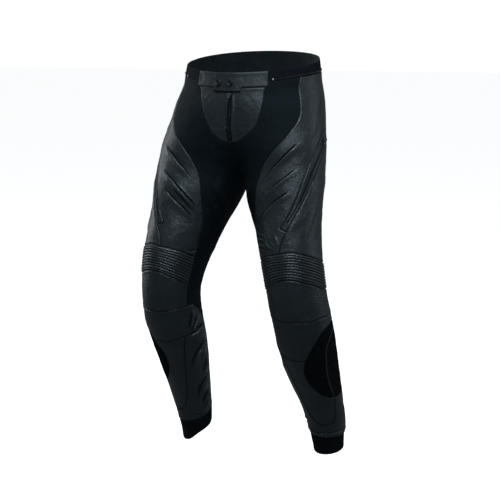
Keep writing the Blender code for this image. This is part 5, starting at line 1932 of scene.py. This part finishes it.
for k, (x, drop) in enumerate(SNAPS):
    snap("snap_cap_%d" % (k + 1), front_frame(x, drop, TAB_CLEAR + LEATHER + CLEAR + SNAP_LIFT))
for word, side in SIDES.items():
    line = ZIP_LINES["join_" + word]
    turn = JOIN_START[word] - 1.6
    drop = float(line[0][1]) - 0.2
    work = bmesh.new()
    plate(work, rounded(2.4, -3.0, 1.0, 0.7, 3), 0.3, 2.6, 0.4)
    spot = frame_at((turn, drop), (turn + 5, drop))
    metal_piece("end_stop_metal_" + word, work, spot, END_STOP_LIFT, side, "dark metal")
print("metal parts made")

# %% [markdown]
# ## Joining the pieces to the frame
# The whole garment is joined to one body. Only the three zip pulls each have a body of their own.

# %% Frame
STANDS_FOR = {
    "fly_zip_tape": ["fly_zip"],
    "fly_slider_metal": ["fly_slider"],
    "fly_pull_metal": ["fly_pull"],
    "snap_cap_1": ["snap_1"],
    "snap_cap_2": ["snap_2"],
}
for word in ("left", "right"):
    for part in ("pocket_zip", "connection_zip"):
        STANDS_FOR[part + "_tape_" + word] = [part + "_" + word]
    for part in ("pocket_slider", "pocket_pull", "end_stop"):
        STANDS_FOR[part + "_metal_" + word] = [part + "_" + word]
OWN_SLOT = ("leather", "stretch_cloth", "waist_cloth", "pile", "cuff_knit", "zip_tape", "dark_metal")
SLOTS = {surface: surface for surface in OWN_SLOT}
SLOTS["brown_pile"] = "pile_back"
SLOTS.update(dict.fromkeys(("strip_leather", "tab_leather_painted_shade", "binding", "black_thread"), "leather"))
SLOTS.update(dict.fromkeys(("snap_metal", "worn_teeth", "black_teeth"), "dark_metal"))
NARROW = 10.0
BODIES = {"pocket_pull_metal_left": "pocket_pull_left", "pocket_pull_metal_right": "pocket_pull_right",
          "fly_pull_metal": "fly_pull"}
for name, made in list(PIECES.items()):
    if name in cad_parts:
        made.name = name + "_cloth"
    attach(made, BODIES.get(name, "trousers"))
    stood_for = STANDS_FOR.get(name, [name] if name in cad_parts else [])
    if stood_for:
        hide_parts(*stood_for)
    surface = made.data.materials[0].name.split(".")[0]
    width, length, area = CUTS.get(name, (0, 0, 0))
    if width > NARROW:
        print(f"{name}: cut {width:.0f} x {length:.0f} mm, {area / 100:.0f} cm2")


# %% [markdown]
# ## Studio
# The garment is held at the waist in front of a pale ground, lit by broad soft boxes at both sides, in front
# and above, so that black leather shows its form by the light along its edges.

# %% Floor, light and camera
FLOOR_LEVEL = -1.03
REACH = 40.0
FLOOR_GLOW = 0.85
ROOM_COLOUR, ROOM_STRENGTH = (0.84, 0.94, 1, 1), 0.15
WHITE, BACKDROP_STRENGTH = (1, 1, 1, 1), 1.05

# Each light box: its name, place, the point it faces, its width and height, and its power
LIGHTS = [
    ("side_box_left", (-2.8, 0.25, 0.3), (0, 0, -0.5), 1.1, 2.2, 24),
    ("side_box_right", (2.4, 1.2, 0.4), (0, 0, -0.4), 1.0, 2.2, 12),
    ("front_box", (0.9, -3.0, 2.0), (0, 0, -0.4), 1.1, 1.0, 56),
    ("top_box", (0.4, -1.0, 2.6), (0, 0, -0.3), 1.3, 1.3, 72),
]
CAMERA_PLACE = (1.816, -3.564, 0.070)
CAMERA_DOWN, CAMERA_ROUND = 7.5, 27.105
SENSOR, LENS = 36.0, 119.4


def pale_floor():
    """A floor that glows white to the camera and throws no light back on the garment."""
    mesh = bpy.data.meshes.new("floor")
    corners = [(-REACH, -REACH), (REACH, -REACH), (REACH, REACH), (-REACH, REACH)]
    mesh.from_pydata([(x, y, FLOOR_LEVEL) for x, y in corners], [], [(0, 1, 2, 3)])
    pale, _, shader = new_surface("pale_floor", (0.86, 0.86, 0.86), 0.9)
    set_inputs(shader, {"Emission Color": WHITE, "Emission Strength": FLOOR_GLOW, "Specular IOR Level": 0.0})
    mesh.materials.append(pale)
    floor = placed("floor", mesh)
    floor.visible_diffuse = False
    floor.visible_glossy = False
    return floor


def studio_world():
    """White behind the garment to the camera, and a dim cold room to everything else."""
    world = bpy.data.worlds.new("studio")
    world.use_nodes = True
    tree = world.node_tree
    room = tree.nodes["Background"]
    set_inputs(room, {"Color": ROOM_COLOUR, "Strength": ROOM_STRENGTH})
    backdrop = add_node(tree, "ShaderNodeBackground", {"Color": WHITE, "Strength": BACKDROP_STRENGTH})
    to_camera = add_node(tree, "ShaderNodeLightPath").outputs["Is Camera Ray"]
    seen = add_node(tree, "ShaderNodeMixShader", {0: to_camera, 1: room.outputs[0], 2: backdrop.outputs[0]})
    tree.links.new(seen.outputs[0], tree.nodes["World Output"].inputs["Surface"])
    return world


floor = pale_floor()
bpy.context.scene.world = studio_world()

for name, place, target, width, height, power in LIGHTS:
    light = bpy.data.lights.new(name, "AREA")
    light.shape = "RECTANGLE"
    light.size, light.size_y = width, height
    light.energy = power
    made = placed(name, light)
    made.location = place
    made.rotation_euler = (Vector(target) - Vector(place)).to_track_quat("-Z", "Y").to_euler()

camera_data = bpy.data.cameras.new("camera")
camera_data.sensor_width = SENSOR
camera_data.lens = LENS
camera = placed("camera", camera_data)
camera.location = CAMERA_PLACE
camera.rotation_euler = (math.radians(90 - CAMERA_DOWN), 0, math.radians(CAMERA_ROUND))
bpy.context.scene.camera = camera
bpy.context.scene.view_settings.view_transform = "Standard"
